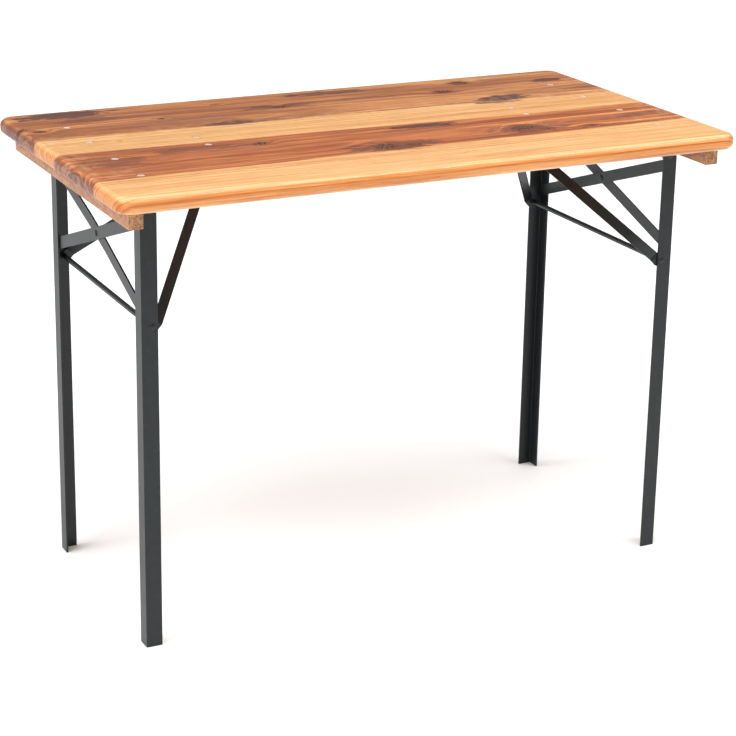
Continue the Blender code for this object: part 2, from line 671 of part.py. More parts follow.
# ---- catch ------------------------------------------------------------------------------------------
def build_catch(frame):
    """A T-shaped plate under the top, with a hook for the cross pin and two ears for the lever."""
    pin = Vector((frame.pin_x, 0, frame.pin_z))
    inward = -frame.sign
    under = UNDERSIDE - GAP - CATCH_PLATE - frame.pin_z
    outline = [
        (-CATCH_PLATE_OUT, -CATCH_PLATE_HALF), (CATCH_PLATE_IN, -CATCH_PLATE_HALF),
        (CATCH_PLATE_IN, -CATCH_STEM_HALF), (CATCH_STEM_END, -CATCH_STEM_HALF),
        (CATCH_STEM_END, CATCH_STEM_HALF), (CATCH_PLATE_IN, CATCH_STEM_HALF),
        (CATCH_PLATE_IN, CATCH_PLATE_HALF), (-CATCH_PLATE_OUT, CATCH_PLATE_HALF)
    ]
    mesh = prism([(inward * u, y) for u, y in outline], CATCH_PLATE)
    place = pin + Vector((0, 0, under + CATCH_PLATE / 2))
    plate = piece(frame.side + "_catch_plate", mesh, "zinc", place)

    overlap = CATCH_PLATE / 2
    wall = -CATCH_SEAT_RADIUS - CATCH_HOOK_WALL
    floor = -CATCH_SEAT_RADIUS - CATCH_HOOK_FLOOR
    seat = arc((0, 0), CATCH_SEAT_RADIUS, CATCH_HOOK_LIP_ANGLE, -math.pi * 1.5, 10)
    hook = [(seat[0][0], floor)] + seat + [
        (CATCH_PLATE_IN / 2, CATCH_SEAT_RADIUS), (CATCH_PLATE_IN / 2, under + overlap),
        (wall, under + overlap), (wall, floor)
    ]
    solid = prism([(inward * u, z) for u, z in hook], CATCH_HOOK_HALF * 2)
    tool(plate, solid, pin, IN_XZ, "UNION")

    for hand in (-1, 1):
        tall = under + overlap - LEVER_PIN_UP + LEVER_EAR_BELOW
        thick = CATCH_STEM_HALF - LEVER_EAR_IN
        ear = box((LEVER_EAR_HALF * 2, thick, tall))
        x = inward * LEVER_PIN_U
        z = LEVER_PIN_UP - LEVER_EAR_BELOW + tall / 2
        tool(plate, ear, pin + Vector((x, hand * (LEVER_EAR_IN + thick / 2), z)), (0, 0, 0), "UNION")
        rivet = pin + Vector((inward * -CATCH_RIVET_OUT, hand * CATCH_RIVET_Y, under))
        drill(plate, rivet, "Z", RIVET_RADIUS + HOLE, CATCH_PLATE * 4)
    axle = pin + Vector((inward * LEVER_PIN_U, 0, LEVER_PIN_UP))
    drill(plate, axle, "Y", LEVER_PIN_RADIUS + FIT, CATCH_STEM_HALF * 3)

    end = CATCH_STEM_HALF + GAP
    head = LEVER_PIN_RADIUS * 1.6
    axle_pin = stepped([
        (head, end + LEVER, end), (LEVER_PIN_RADIUS, end, -end), (head, -end, -end - LEVER)
    ], SMALL_ROUND)
    piece(frame.side + "_lever_pin", axle_pin, "zinc", axle, ALONG["Y"])
    return axle


def build_lever(frame, axle, empty):
    """The sprung lever: a lip in front of the cross pin, a flat for the thumb, a knuckle on its pin."""
    pin = Vector((frame.pin_x, 0, frame.pin_z))
    inward = -frame.sign
    route = [
        (LEVER_NOSE_U, LEVER_NOSE_LOW), (LEVER_NOSE_U, LEVER_NOSE_TOP), (LEVER_PIN_U, LEVER_PIN_UP)
    ]
    path = [Vector((inward * (u - LEVER_PIN_U), z - LEVER_PIN_UP)) for u, z in route]
    mesh = prism(strip_outline(path, LEVER), LEVER_HALF * 2)
    lever = piece(frame.side + "_catch_lever", mesh, "spring_steel", axle, IN_XZ, empty)
    length = LEVER_HALF + LEVER_KNUCKLE_END
    knuckle = axle + Vector((0, (LEVER_KNUCKLE_END - LEVER_HALF) / 2, 0))
    tool(lever, cylinder(LEVER_KNUCKLE_RADIUS, length), knuckle, ALONG["Y"], "UNION")
    drill(lever, axle, "Y", LEVER_PIN_RADIUS + FIT, LEVER_HALF * 3)
    room = LEVER_KNUCKLE_RADIUS + 3 * GAP
    pocket = box((room * 2, LEVER_HALF, room * 2))
    beside = axle + Vector((0, LEVER_KNUCKLE_END + LEVER_HALF / 2, 0))
    tool(lever, pocket, beside, (0, 0, 0), "DIFFERENCE")

    spring = spring_mesh(inward)
    start = axle + Vector((0, LEVER_KNUCKLE_END + 4 * GAP, 0))
    piece(frame.side + "_catch_spring", spring, "spring_steel", start)


def spring_mesh(inward):
    """A small torsion spring about Y whose tails lie under the plate, either side of the coil."""
    curve = bpy.data.curves.new("spring", "CURVE")
    curve.dimensions = "3D"
    curve.bevel_depth = SPRING_WIRE_RADIUS
    curve.bevel_resolution = 1
    curve.use_fill_caps = True
    pitch = SPRING_WIRE_RADIUS * 2 + GAP
    points = [(SPRING_TAIL, 0, SPRING_RADIUS)]
    per_turn = 10
    for i in range(SPRING_TURNS * per_turn + 1):
        a = math.pi / 2 + 2 * math.pi * i / per_turn
        points.append((SPRING_RADIUS * math.cos(a), pitch * i / per_turn, SPRING_RADIUS * math.sin(a)))
    points.append((-SPRING_TAIL, points[-1][1], SPRING_RADIUS))
    spline = curve.splines.new("POLY")
    spline.points.add(len(points) - 1)
    for point, (u, y, z) in zip(spline.points, points):
        point.co = (inward * u, y, z, 1)
    mesh = evaluated_mesh(bpy.data.objects.new("spring", curve))
    smooth(mesh)
    return mesh


# ---- the whole table --------------------------------------------------------------------------------
clear_scene()
PARTS = collection("folding_table")
CUTTERS = collection("cutters")
GUIDES = collection("joint_axes")


def main():
    frames = [Frame(side) for side in SIDES]
    build_boards(frames)
    for frame in frames:
        build_battens(frame)
        build_rivets(frame)
        build_hinges(frame)
        fold = axis_empty(frame.side + "_fold_axis", (frame.pivot_x, 0, frame.pivot_z))
        build_legs(frame, fold)
        build_braces(frame, fold)
        build_tie(frame, fold)
        swing = axis_empty(frame.side + "_strut_axis", (frame.tie_x, 0, frame.tie_z), fold)
        build_strut(frame, swing)
        axle = build_catch(frame)
        tilt = axis_empty(frame.side + "_lever_axis", axle)
        build_lever(frame, axle, tilt)


main()
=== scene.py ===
"""Folding table: a glued board top on two sawn battens, carried by two folding leg frames of angle steel.

Metres, +Z up. The pieces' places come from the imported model. Each operator makes one group of pieces.
"""
import json
import math

import bmesh
import bpy
from mathutils import Matrix, Vector


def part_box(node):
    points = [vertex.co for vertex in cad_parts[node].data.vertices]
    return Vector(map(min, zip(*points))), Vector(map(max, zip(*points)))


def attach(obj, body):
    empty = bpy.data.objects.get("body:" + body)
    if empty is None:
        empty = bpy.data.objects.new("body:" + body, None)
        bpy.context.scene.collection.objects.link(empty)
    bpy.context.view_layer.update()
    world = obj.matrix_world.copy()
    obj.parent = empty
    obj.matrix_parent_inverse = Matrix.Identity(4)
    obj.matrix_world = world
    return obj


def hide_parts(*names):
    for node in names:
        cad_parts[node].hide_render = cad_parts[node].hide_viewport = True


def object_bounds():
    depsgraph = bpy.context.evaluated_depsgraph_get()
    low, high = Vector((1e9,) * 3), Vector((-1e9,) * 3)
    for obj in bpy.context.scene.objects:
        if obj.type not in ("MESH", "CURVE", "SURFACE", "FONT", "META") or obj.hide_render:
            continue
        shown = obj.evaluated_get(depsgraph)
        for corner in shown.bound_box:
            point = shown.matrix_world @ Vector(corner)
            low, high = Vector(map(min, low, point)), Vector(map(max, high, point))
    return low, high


bl_info = {
    "name": "Folding Table",
    "version": (1, 0, 0),
    "blender": (4, 5, 0),
    "location": "3D View > Sidebar > Table",
    "description": "Makes the finished pieces of a folding table around its packed frame",
    "category": "Object",
}

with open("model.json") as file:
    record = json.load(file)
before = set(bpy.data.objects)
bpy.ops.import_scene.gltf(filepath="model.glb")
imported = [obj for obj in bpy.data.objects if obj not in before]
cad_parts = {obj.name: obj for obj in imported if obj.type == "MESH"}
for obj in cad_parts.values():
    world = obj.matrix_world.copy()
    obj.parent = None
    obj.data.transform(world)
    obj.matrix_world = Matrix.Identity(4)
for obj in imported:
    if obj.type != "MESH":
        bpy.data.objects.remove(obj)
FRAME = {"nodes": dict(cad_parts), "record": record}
CAD_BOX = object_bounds()
BODY_OF = {node: body for body, nodes in FRAME["record"]["behaviour"]["bodies"].items() for node in nodes}
SIDES = {"left": -1, "right": 1}
ENDS = {"front": -1, "back": 1}
BOARDS = ("back", "sapwood", "middle", "front")

# ---- sizes of the steel work ------------------------------------------------------------------------
STEEL = 0.003                 # flats and angles
HINGE_PLATE = 0.0025
BRACE_RISE = 0.350            # rise per unit of width
BRACE_CROSSING = 0.034        # half of the inner bar's flat middle, where it crosses the outer bar
BRACE_BOW = 0.136             # length over which it eases back to the flanges
STRUT_EYE = 0.007             # strip beyond its hole
STRUT_LUG = 0.012             # straight lug inside the rod's hole
STRUT_TIP = 0.020             # straight tip before the cross pin
STRUT_WIDTH = 0.018
STRUT_OFFSET = 0.004          # strip below the line from rod to pin
STRUT_BEND = 0.0075           # bend radius at the middle of the strip
STRUT_TIP_Y = 0.015
STRUT_END_ROUND = 0.0086      # corner radius of the strip's ends
HINGE_BEND = 0.004
HINGE_EAR_ROUND = 0.0075
HINGE_END_ROUND = 0.004
LEG_CORNER_CUT = 0.005
LEG_CORNER_ROUND = 0.0016
LEG_ROOT_ROUND = 0.0010
SIDE_GAP = 0.0003             # between flats that turn side by side
WIRE = 0.0004                 # radius of the spring wire
SPRING_TURNS = 4

# ---- radii and depths of rivets, screws and their holes -------------------------------------------------
PIVOT_HOLE = 0.0042
ROD_HOLE = 0.0032             # for the tie rod and the brace rivet
PIN_HOLE = 0.0027             # for the strut's cross pin
RIVET_HOLE = 0.0034
RIVET_SHANK = 0.0030
RIVET_TAIL = 0.005
RIVET_HEAD_DEPTH = 0.0016
RIVET_POCKET_DEPTH = 0.0022
RIVET_HEAD_PLAY = 0.0004
SCREW_SHANK = 0.0022
SCREW_RIM = 0.0010            # height of the head's widest ring
SCREW_RECESS = (0.0024, 0.0005, 0.0013)   # half of one arm of the cross
DRILL_OVERRUN = 0.002
HOLE_STEPS = 32

# ---- sizes of the wood work ---------------------------------------------------------------------------
JOINT_GAP = 0.00004           # glue line between two boards
BATTEN_EDGE = 0.0016
FIT = 0.0002

# ---- tones of the wood and steel that are not settings ------------------------------------------------
SALMON_STREAK = (0.830, 0.400, 0.165)
DUSKY_RED = (0.290, 0.115, 0.072)
CREAM_STREAK = (0.86, 0.540, 0.260)
HONEY_STREAK = (0.600, 0.260, 0.085)
RED_DRIFT = (0.66, 0.30, 0.100)
FLECKS = ((0.420, 0.150, 0.040), (0.130, 0.042, 0.022))        # sapwood, heartwood
SOAKED_ENDS = ((0.84, 0.62, 0.43), (0.50, 0.42, 0.46))
SOAKED_RINGS = ((0.330, 0.105, 0.032), (0.085, 0.034, 0.026))
DARK_CLOUD = (0.095, 0.044, 0.040)
KNOT_SURROUND = (0.200, 0.066, 0.034)
KNOT_RED = (0.160, 0.050, 0.026)
KNOT_CRACK = (0.62, 0.36, 0.18)
OPEN_PORE = (0.10, 0.035, 0.02)
RUBBED_BOARD = (0.86, 0.60, 0.36)
BATTEN_FACE = ((0.27, 0.115, 0.066), (0.43, 0.225, 0.130))
BATTEN_RING = (0.30, 0.11, 0.045)
BATTEN_BLOTCH = (0.30, 0.10, 0.055)
BATTEN_SAW_LINE = (0.78, 0.52, 0.32)
BATTEN_END = ((0.20, 0.075, 0.03), (0.66, 0.36, 0.15))
BATTEN_END_RING = (0.24, 0.09, 0.035)
RUBBED_BATTEN = (0.80, 0.56, 0.34)
RUBBED_PAINT = (0.115, 0.12, 0.125)
RIVET_STAIN = (0.62, 0.44, 0.34)
ZINC_STAIN = (0.50, 0.47, 0.42)
SPRING_STAIN = (0.16, 0.15, 0.15)

# ---- knots and dark clouds of the boards: x, y, half length, half width, strength ----------------------
KNOTS = {
    "back": (
        (-0.542, 0.183, 0.010, 0.008, 0.9), (-0.518, 0.159, 0.012, 0.007, 0.9),
        (-0.300, 0.177, 0.007, 0.005, 0.9), (-0.173, 0.246, 0.012, 0.006, 0.5),
        (-0.075, 0.187, 0.015, 0.010, 0.95), (0.250, 0.190, 0.020, 0.011, 1.0),
        (0.315, 0.248, 0.022, 0.013, 1.0), (-0.020, 0.263, 0.012, 0.008, 0.85),
        (-0.190, 0.110, 0.012, 0.008, 0.9),
    ),
    "sapwood": (
        (-0.420, 0.050, 0.006, 0.003, 0.35), (0.200, 0.020, 0.005, 0.003, 0.3),
    ),
    "middle": (
        (-0.218, -0.054, 0.014, 0.009, 0.95), (-0.040, -0.149, 0.024, 0.017, 1.0),
        (0.008, -0.155, 0.016, 0.010, 0.7), (0.237, -0.118, 0.022, 0.014, 1.0),
        (0.268, -0.140, 0.008, 0.006, 0.8), (0.354, -0.146, 0.010, 0.006, 0.85),
    ),
    "front": (
        (0.060, -0.235, 0.003, 0.002, 0.35), (-0.300, -0.210, 0.004, 0.002, 0.3),
    ),
}
CLOUDS = {
    "back": (
        (-0.445, 0.262, 0.085, 0.024, 0.95), (-0.410, 0.215, 0.060, 0.018, 0.5),
        (-0.198, 0.100, 0.050, 0.018, 0.8), (0.326, 0.106, 0.052, 0.022, 1.0),
        (0.484, 0.212, 0.034, 0.014, 0.95), (0.050, 0.262, 0.080, 0.016, 0.7),
        (-0.075, 0.190, 0.070, 0.018, 0.6),
    ),
    "sapwood": ((0.300, 0.080, 0.045, 0.012, 0.8),),
    "middle": (
        (-0.480, -0.080, 0.060, 0.035, 0.5), (-0.330, -0.050, 0.090, 0.016, 0.6),
        (0.081, -0.040, 0.066, 0.013, 1.0), (-0.020, -0.150, 0.085, 0.028, 0.7),
        (0.245, -0.120, 0.080, 0.026, 0.6), (0.490, -0.100, 0.060, 0.016, 0.5),
    ),
    "front": (),
}


# ---- settings ---------------------------------------------------------------------------------------
class WoodSettings(bpy.types.PropertyGroup):
    """Shape and colours of the top and the battens."""

    corner_radius: bpy.props.FloatProperty(
        name="Corner radius", description="Plan radius of the top's four corners",
        default=0.026, min=0.0, subtype="DISTANCE", unit="LENGTH",
    )
    edge_radius: bpy.props.FloatProperty(
        name="Edge radius", description="Radius of the rounded upper and lower edges of the top",
        default=0.0115, min=0.0, subtype="DISTANCE", unit="LENGTH",
    )
    heartwood: bpy.props.FloatVectorProperty(
        name="Heartwood", description="Main colour of the red heartwood",
        default=(0.640, 0.238, 0.083), size=3, min=0.0, max=1.0, subtype="COLOR",
    )
    heartwood_dark: bpy.props.FloatVectorProperty(
        name="Dark heartwood", description="Colour of dark streaks and growth lines in the heartwood",
        default=(0.310, 0.090, 0.040), size=3, min=0.0, max=1.0, subtype="COLOR",
    )
    sapwood: bpy.props.FloatVectorProperty(
        name="Sapwood", description="Main colour of the pale sapwood",
        default=(0.780, 0.480, 0.228), size=3, min=0.0, max=1.0, subtype="COLOR",
    )
    sapwood_dark: bpy.props.FloatVectorProperty(
        name="Dark sapwood", description="Colour of the growth lines in the sapwood",
        default=(0.520, 0.190, 0.052), size=3, min=0.0, max=1.0, subtype="COLOR",
    )
    knot: bpy.props.FloatVectorProperty(
        name="Knots", description="Colour of the middle of a knot",
        default=(0.030, 0.011, 0.009), size=3, min=0.0, max=1.0, subtype="COLOR",
    )
    ring_width: bpy.props.FloatProperty(
        name="Growth ring", description="Mean width of a growth ring",
        default=0.0068, min=0.0005, subtype="DISTANCE", unit="LENGTH",
    )


class SteelSettings(bpy.types.PropertyGroup):
    """Finish of the leg frames, struts and fittings."""

    edge: bpy.props.FloatProperty(
        name="Edge rounding", description="Radius left on the edges of flats and angles",
        default=0.0004, min=0.0, subtype="DISTANCE", unit="LENGTH",
    )
    paint: bpy.props.FloatVectorProperty(
        name="Paint", description="Colour of the powder coat",
        default=(0.0072, 0.0104, 0.0118), size=3, min=0.0, max=1.0, subtype="COLOR",
    )
    zinc: bpy.props.FloatVectorProperty(
        name="Zinc", description="Colour of the plated fittings",
        default=(0.86, 0.84, 0.83), size=3, min=0.0, max=1.0, subtype="COLOR",
    )
    rivet: bpy.props.FloatVectorProperty(
        name="Top rivets", description="Colour of the lacquered rivet heads in the top",
        default=(0.90, 0.72, 0.61), size=3, min=0.0, max=1.0, subtype="COLOR",
    )
    spring: bpy.props.FloatVectorProperty(
        name="Spring steel", description="Colour of the levers and springs",
        default=(0.30, 0.31, 0.34), size=3, min=0.0, max=1.0, subtype="COLOR",
    )


class StageSettings(bpy.types.PropertyGroup):
    """Floor, light and camera."""

    floor: bpy.props.FloatVectorProperty(
        name="Floor", description="Colour of the floor",
        default=(0.93, 0.93, 0.93), size=3, min=0.0, max=1.0, subtype="COLOR",
    )
    key_strength: bpy.props.FloatProperty(
        name="Key light", description="Strength of the wide soft light on the left",
        default=1.38, min=0.0,
    )
    key_spread: bpy.props.FloatProperty(
        name="Key spread", description="Angle that the key light fills, which softens its shadows",
        default=math.radians(38), min=0.0, subtype="ANGLE", unit="ROTATION",
    )
    strip_power: bpy.props.FloatProperty(
        name="Strip light", description="Power of the long lamp above the front edge",
        default=60.0, min=0.0, subtype="POWER", unit="POWER",
    )
    sky: bpy.props.FloatProperty(
        name="Surround", description="Brightness of the white surround as a light",
        default=1.0, min=0.0,
    )


# ---- making shapes ----------------------------------------------------------------------------------
def settings(name):
    return getattr(bpy.context.scene, "table_" + name)


def middle_of(node):
    low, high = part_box(node)
    return (low + high) / 2


def size_of(node):
    low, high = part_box(node)
    return high - low


def block(low, high):
    """A box between two corners."""
    bm = bmesh.new()
    bmesh.ops.create_cube(bm, size=1)
    bmesh.ops.scale(bm, vec=high - low, verts=bm.verts)
    bmesh.ops.translate(bm, vec=(low + high) / 2, verts=bm.verts)
    return bm


def rounded(bm, geom, radius, segments, affect="EDGES", clamp=False):
    bmesh.ops.bevel(
        bm, geom=geom, offset=radius, segments=segments, profile=0.5, affect=affect,
        clamp_overlap=clamp, material=-1,
    )


def soften(bm, radius, angle=50):
    """Rounds every edge that is sharper than the angle."""
    limit = math.radians(angle)
    sharp = [e for e in bm.edges if len(e.link_faces) == 2 and e.calc_face_angle() > limit]
    rounded(bm, sharp, radius, 2, clamp=True)


def cut_away(bm, point, outward):
    """Takes off what lies beyond a plane, and closes the cut."""
    everything = bm.verts[:] + bm.edges[:] + bm.faces[:]
    cut = bmesh.ops.bisect_plane(bm, geom=everything, plane_co=point, plane_no=outward, clear_outer=True)
    rim = [e for e in cut["geom_cut"] if isinstance(e, bmesh.types.BMEdge)]
    bmesh.ops.edgeloop_fill(bm, edges=rim)


def turned(profile, steps=40):
    """A solid turned about Z from (radius, height) points that start and end on the axis."""
    bm = bmesh.new()
    verts = [bm.verts.new((radius, 0, height)) for radius, height in profile]
    edges = [bm.edges.new(pair) for pair in zip(verts, verts[1:])]
    bmesh.ops.spin(
        bm, geom=verts + edges, cent=(0, 0, 0), axis=(0, 0, 1), dvec=(0, 0, 0),
        angle=2 * math.pi, steps=steps, use_merge=True, use_duplicate=False,
    )
    bmesh.ops.remove_doubles(bm, verts=bm.verts, dist=0.000001)
    bmesh.ops.recalc_face_normals(bm, faces=bm.faces)
    return bm


def dome(radius, height, base, rise=1, points=6):
    """Profile points of a domed head, from its crown out to its rim. rise is 1 up or -1 down."""
    angles = [i * math.pi / 2 / points for i in range(points + 1)]
    return [(radius * math.sin(a), base + rise * height * math.cos(a)) for a in angles]


def moved(bm, matrix):
    bmesh.ops.transform(bm, matrix=matrix, verts=bm.verts)
    return bm


def along_y(place, hand=1):
    """Turns a Z-axis shape so that it points along +Y or -Y, at a place."""
    return Matrix.Translation(place) @ Matrix.Rotation(-hand * math.pi / 2, 4, "X")


def along_x(place, hand=1):
    return Matrix.Translation(place) @ Matrix.Rotation(hand * math.pi / 2, 4, "Y")


def drill(radius, reach, place):
    """A cutter for a round hole, along the place's own Z axis."""
    return moved(turned([(0, reach), (radius, reach), (radius, -reach), (0, -reach)], HOLE_STEPS), place)


def headed_pin(half_length, head, height, shank, lip=0.0001, thick=None, steps=36, points=6):
    """A pin along Z with a domed head at each end. thick is (half length, radius) of a thicker middle."""
    rim = half_length - height
    half = dome(head, height - lip, rim + lip, points=points) + [(head, rim), (shank, rim)]
    if thick:
        shoulder, radius = thick
        half += [(shank, shoulder), (radius - 0.0004, shoulder), (radius, shoulder - 0.0004)]
    return turned(half + [(r, -z) for r, z in reversed(half)], steps)


class Bar:
    """A flat bar drawn out from its end face in the plane z = 0, with straights and round bends."""

    def __init__(self, start, heading, thickness, width):
        self.bm = bmesh.new()
        self.place = Vector(start).to_3d()
        self.heading = Vector(heading).to_3d().normalized()
        across = self.across() * thickness / 2
        rise = Vector((0, 0, width / 2))
        corners = (across + rise, -across + rise, -across - rise, across - rise)
        self.face = self.bm.faces.new([self.bm.verts.new(self.place + c) for c in corners])

    def across(self):
        return Vector((-self.heading.y, self.heading.x, 0))

    def straight(self, length, steps=1):
        for _ in range(steps):
            grown = bmesh.ops.extrude_face_region(self.bm, geom=[self.face])["geom"]
            verts = [g for g in grown if isinstance(g, bmesh.types.BMVert)]
            bmesh.ops.translate(self.bm, vec=self.heading * length / steps, verts=verts)
            self.face = next(g for g in grown if isinstance(g, bmesh.types.BMFace))
        self.place += self.heading * length
        return self

    def bend(self, angle, radius, steps=6):
        """Turns left for a positive angle. radius is to the middle of the bar."""
        centre = self.place + self.across() * math.copysign(radius, angle)
        grown = bmesh.ops.spin(
            self.bm, geom=[self.face], cent=centre, axis=(0, 0, 1), dvec=(0, 0, 0),
            angle=angle, steps=steps, use_merge=False, use_duplicate=False,
        )["geom_last"]
        self.face = next(g for g in grown if isinstance(g, bmesh.types.BMFace))
        turn = Matrix.Rotation(angle, 3, "Z")
        self.place = centre + turn @ (self.place - centre)
        self.heading = turn @ self.heading
        return self

    def done(self):
        bmesh.ops.recalc_face_normals(self.bm, faces=self.bm.faces)
        return self.bm


def round_ends(bm, x_values, radius, segments=6):
    """Rounds the corners of a bar's ends, seen flat on. The ends lie at the given local x."""
    corners = []
    for edge in bm.edges:
        a, b = (v.co for v in edge.verts)
        at_end = any(abs(a.x - x) < 0.0002 for x in x_values)
        if at_end and abs(a.x - b.x) < 0.0002 and abs(a.z - b.z) < 0.0002:
            corners.append(edge)
    rounded(bm, corners, radius, segments)


def cad_copy(node):
    """The node's own shape, with its loose triangles merged and its flat faces made whole."""
    bm = bmesh.new()
    bm.from_mesh(FRAME["nodes"][node].data)
    bmesh.ops.remove_doubles(bm, verts=bm.verts, dist=0.000005)
    bmesh.ops.dissolve_limit(bm, angle_limit=math.radians(0.6), verts=bm.verts, edges=bm.edges)
    return bm


# ---- finishing pieces -------------------------------------------------------------------------------
def temporary(bm, name):
    mesh = bpy.data.meshes.new(name)
    bm.to_mesh(mesh)
    bm.free()
    obj = bpy.data.objects.new(name, mesh)
    bpy.context.scene.collection.objects.link(obj)
    return obj


def drill_holes(obj, cutters):
    tools = [temporary(cutter, "drill") for cutter in cutters]
    for tool in tools:
        hole = obj.modifiers.new("hole", "BOOLEAN")
        hole.operation = "DIFFERENCE"
        hole.solver = "EXACT"
        hole.object = tool
    settle(obj)
    for tool in tools:
        bpy.data.objects.remove(tool, do_unlink=True)


def finish_piece(node, finish, bm, material, cutters=(), smooth_angle=35):
    """Makes the piece that stands for a CAD node: drills it, evens its shading, and fixes it to its body."""
    obj = temporary(bm, node + "." + finish)
    obj.data.shade_smooth()
    if cutters:
        drill_holes(obj, cutters)
        obj.data.shade_smooth()
    obj.data.set_sharp_from_angle(angle=math.radians(smooth_angle))
    even = obj.modifiers.new("even_shading", "WEIGHTED_NORMAL")
    even.keep_sharp = True
    even.weight = 100
    settle(obj)
    obj.data.materials.clear()
    obj.data.materials.append(material)
    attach(obj, BODY_OF[node])
    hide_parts(node)
    return obj


def settle(obj):
    """Applies the modifiers."""
    graph = bpy.context.evaluated_depsgraph_get()
    graph.update()
    mesh = bpy.data.meshes.new_from_object(obj.evaluated_get(graph))
    old = obj.data
    obj.modifiers.clear()
    obj.data = mesh
    mesh.name = obj.name
    bpy.data.meshes.remove(old)


# ---- node graphs ------------------------------------------------------------------------------------
class Graph:
    """Adds nodes to a tree and links them, one call per node."""

    def __init__(self, tree):
        self.tree = tree
        self.count = 0

    def add(self, kind, inputs=None, **values):
        node = self.tree.nodes.new(kind)
        node.location = ((self.count % 12) * 180, -(self.count // 12) * 220)
        self.count += 1
        for key, value in values.items():
            setattr(node, key, value)
        self.fill(node, inputs or {})
        return node

    def fill(self, node, inputs):
        for key, value in inputs.items():
            self.feed(node.inputs[key], value)

    def feed(self, socket, value):
        if isinstance(value, bpy.types.NodeSocket):
            self.tree.links.new(value, socket)
        elif socket.type == "RGBA" and len(value) == 3:
            socket.default_value = (*value, 1)
        else:
            socket.default_value = value

    def math(self, operation, a, b=0.0, clamp=False):
        return self.add("ShaderNodeMath", {0: a, 1: b}, operation=operation, use_clamp=clamp).outputs[0]

    def plus(self, a, b):
        return self.math("ADD", a, b)

    def minus(self, a, b):
        return self.math("SUBTRACT", a, b)

    def times(self, a, b):
        return self.math("MULTIPLY", a, b)

    def vector(self, operation, a, b=(0, 0, 0)):
        node = self.add("ShaderNodeVectorMath", {0: a, 1: b}, operation=operation)
        return node.outputs["Value" if operation in ("LENGTH", "DOT_PRODUCT", "DISTANCE") else "Vector"]

    def stretched(self, vector, factors):
        return self.vector("MULTIPLY", vector, factors)

    def step(self, value, low, high):
        """Rises smoothly from 0 at low to 1 at high."""
        inputs = {"Value": value, "From Min": low, "From Max": high}
        return self.add("ShaderNodeMapRange", inputs, interpolation_type="SMOOTHSTEP").outputs["Result"]

    def between(self, value, low, high):
        """Stretches 0..1 to low..high."""
        inputs = {"Value": value, "To Min": low, "To Max": high}
        return self.add("ShaderNodeMapRange", inputs).outputs["Result"]

    def mix(self, factor, a, b, blend="MIX"):
        node = self.add("ShaderNodeMix", data_type="RGBA", blend_type=blend)
        self.feed(node.inputs[0], factor)
        self.feed(node.inputs[6], a)
        self.feed(node.inputs[7], b)
        return node.outputs[2]

    def laid(self, under, over, mask, share):
        """Lays a colour over another one where the mask is, at a share of its full strength."""
        return self.mix(self.times(mask, share), under, over)

    def tinted(self, colour, tint, share=1.0):
        return self.mix(share, colour, tint, "MULTIPLY")

    def noise(self, vector, scale=1.0, detail=2.0, roughness=0.5, distortion=0.0):
        inputs = {
            "Vector": vector, "Scale": scale, "Detail": detail, "Roughness": roughness,
            "Distortion": distortion
        }
        return self.add("ShaderNodeTexNoise", inputs).outputs["Fac"]

    def split(self, vector):
        return self.add("ShaderNodeSeparateXYZ", {0: vector}).outputs

    def join(self, x, y, z):
        return self.add("ShaderNodeCombineXYZ", {0: x, 1: y, 2: z}).outputs[0]

    def use(self, name, **inputs):
        """Places a shared group. Spaces in its socket names are written as underscores."""
        node = self.add("ShaderNodeGroup", None, node_tree=bpy.data.node_groups[name])
        for key, value in inputs.items():
            self.feed(node.inputs[key.replace("_", " ")], value)
        return node.outputs

    def rubbed(self, colour, bare, place, amount, scale):
        """Shows the bare colour where edges are worn."""
        mask = self.use("edge wear", Position=place, Amount=amount, Scale=scale)["Mask"]
        return self.mix(mask, colour, bare)

    def bump(self, height, strength, distance):
        inputs = {"Height": height, "Strength": strength, "Distance": distance}
        return self.add("ShaderNodeBump", inputs).outputs[0]

    def facing(self):
        """The x, y and z of the surface's normal."""
        return self.split(self.add("ShaderNodeNewGeometry").outputs["Normal"])


def shared_group(name, inputs, outputs):
    """A new group with named sockets, as its graph, its inputs and its output node."""
    tree = bpy.data.node_groups.new(name, "ShaderNodeTree")
    for label, kind in inputs.items():
        tree.interface.new_socket(label, in_out="INPUT", socket_type="NodeSocket" + kind)
    for label, kind in outputs.items():
        tree.interface.new_socket(label, in_out="OUTPUT", socket_type="NodeSocket" + kind)
    graph = Graph(tree)
    return graph, graph.add("NodeGroupInput").outputs, graph.add("NodeGroupOutput")


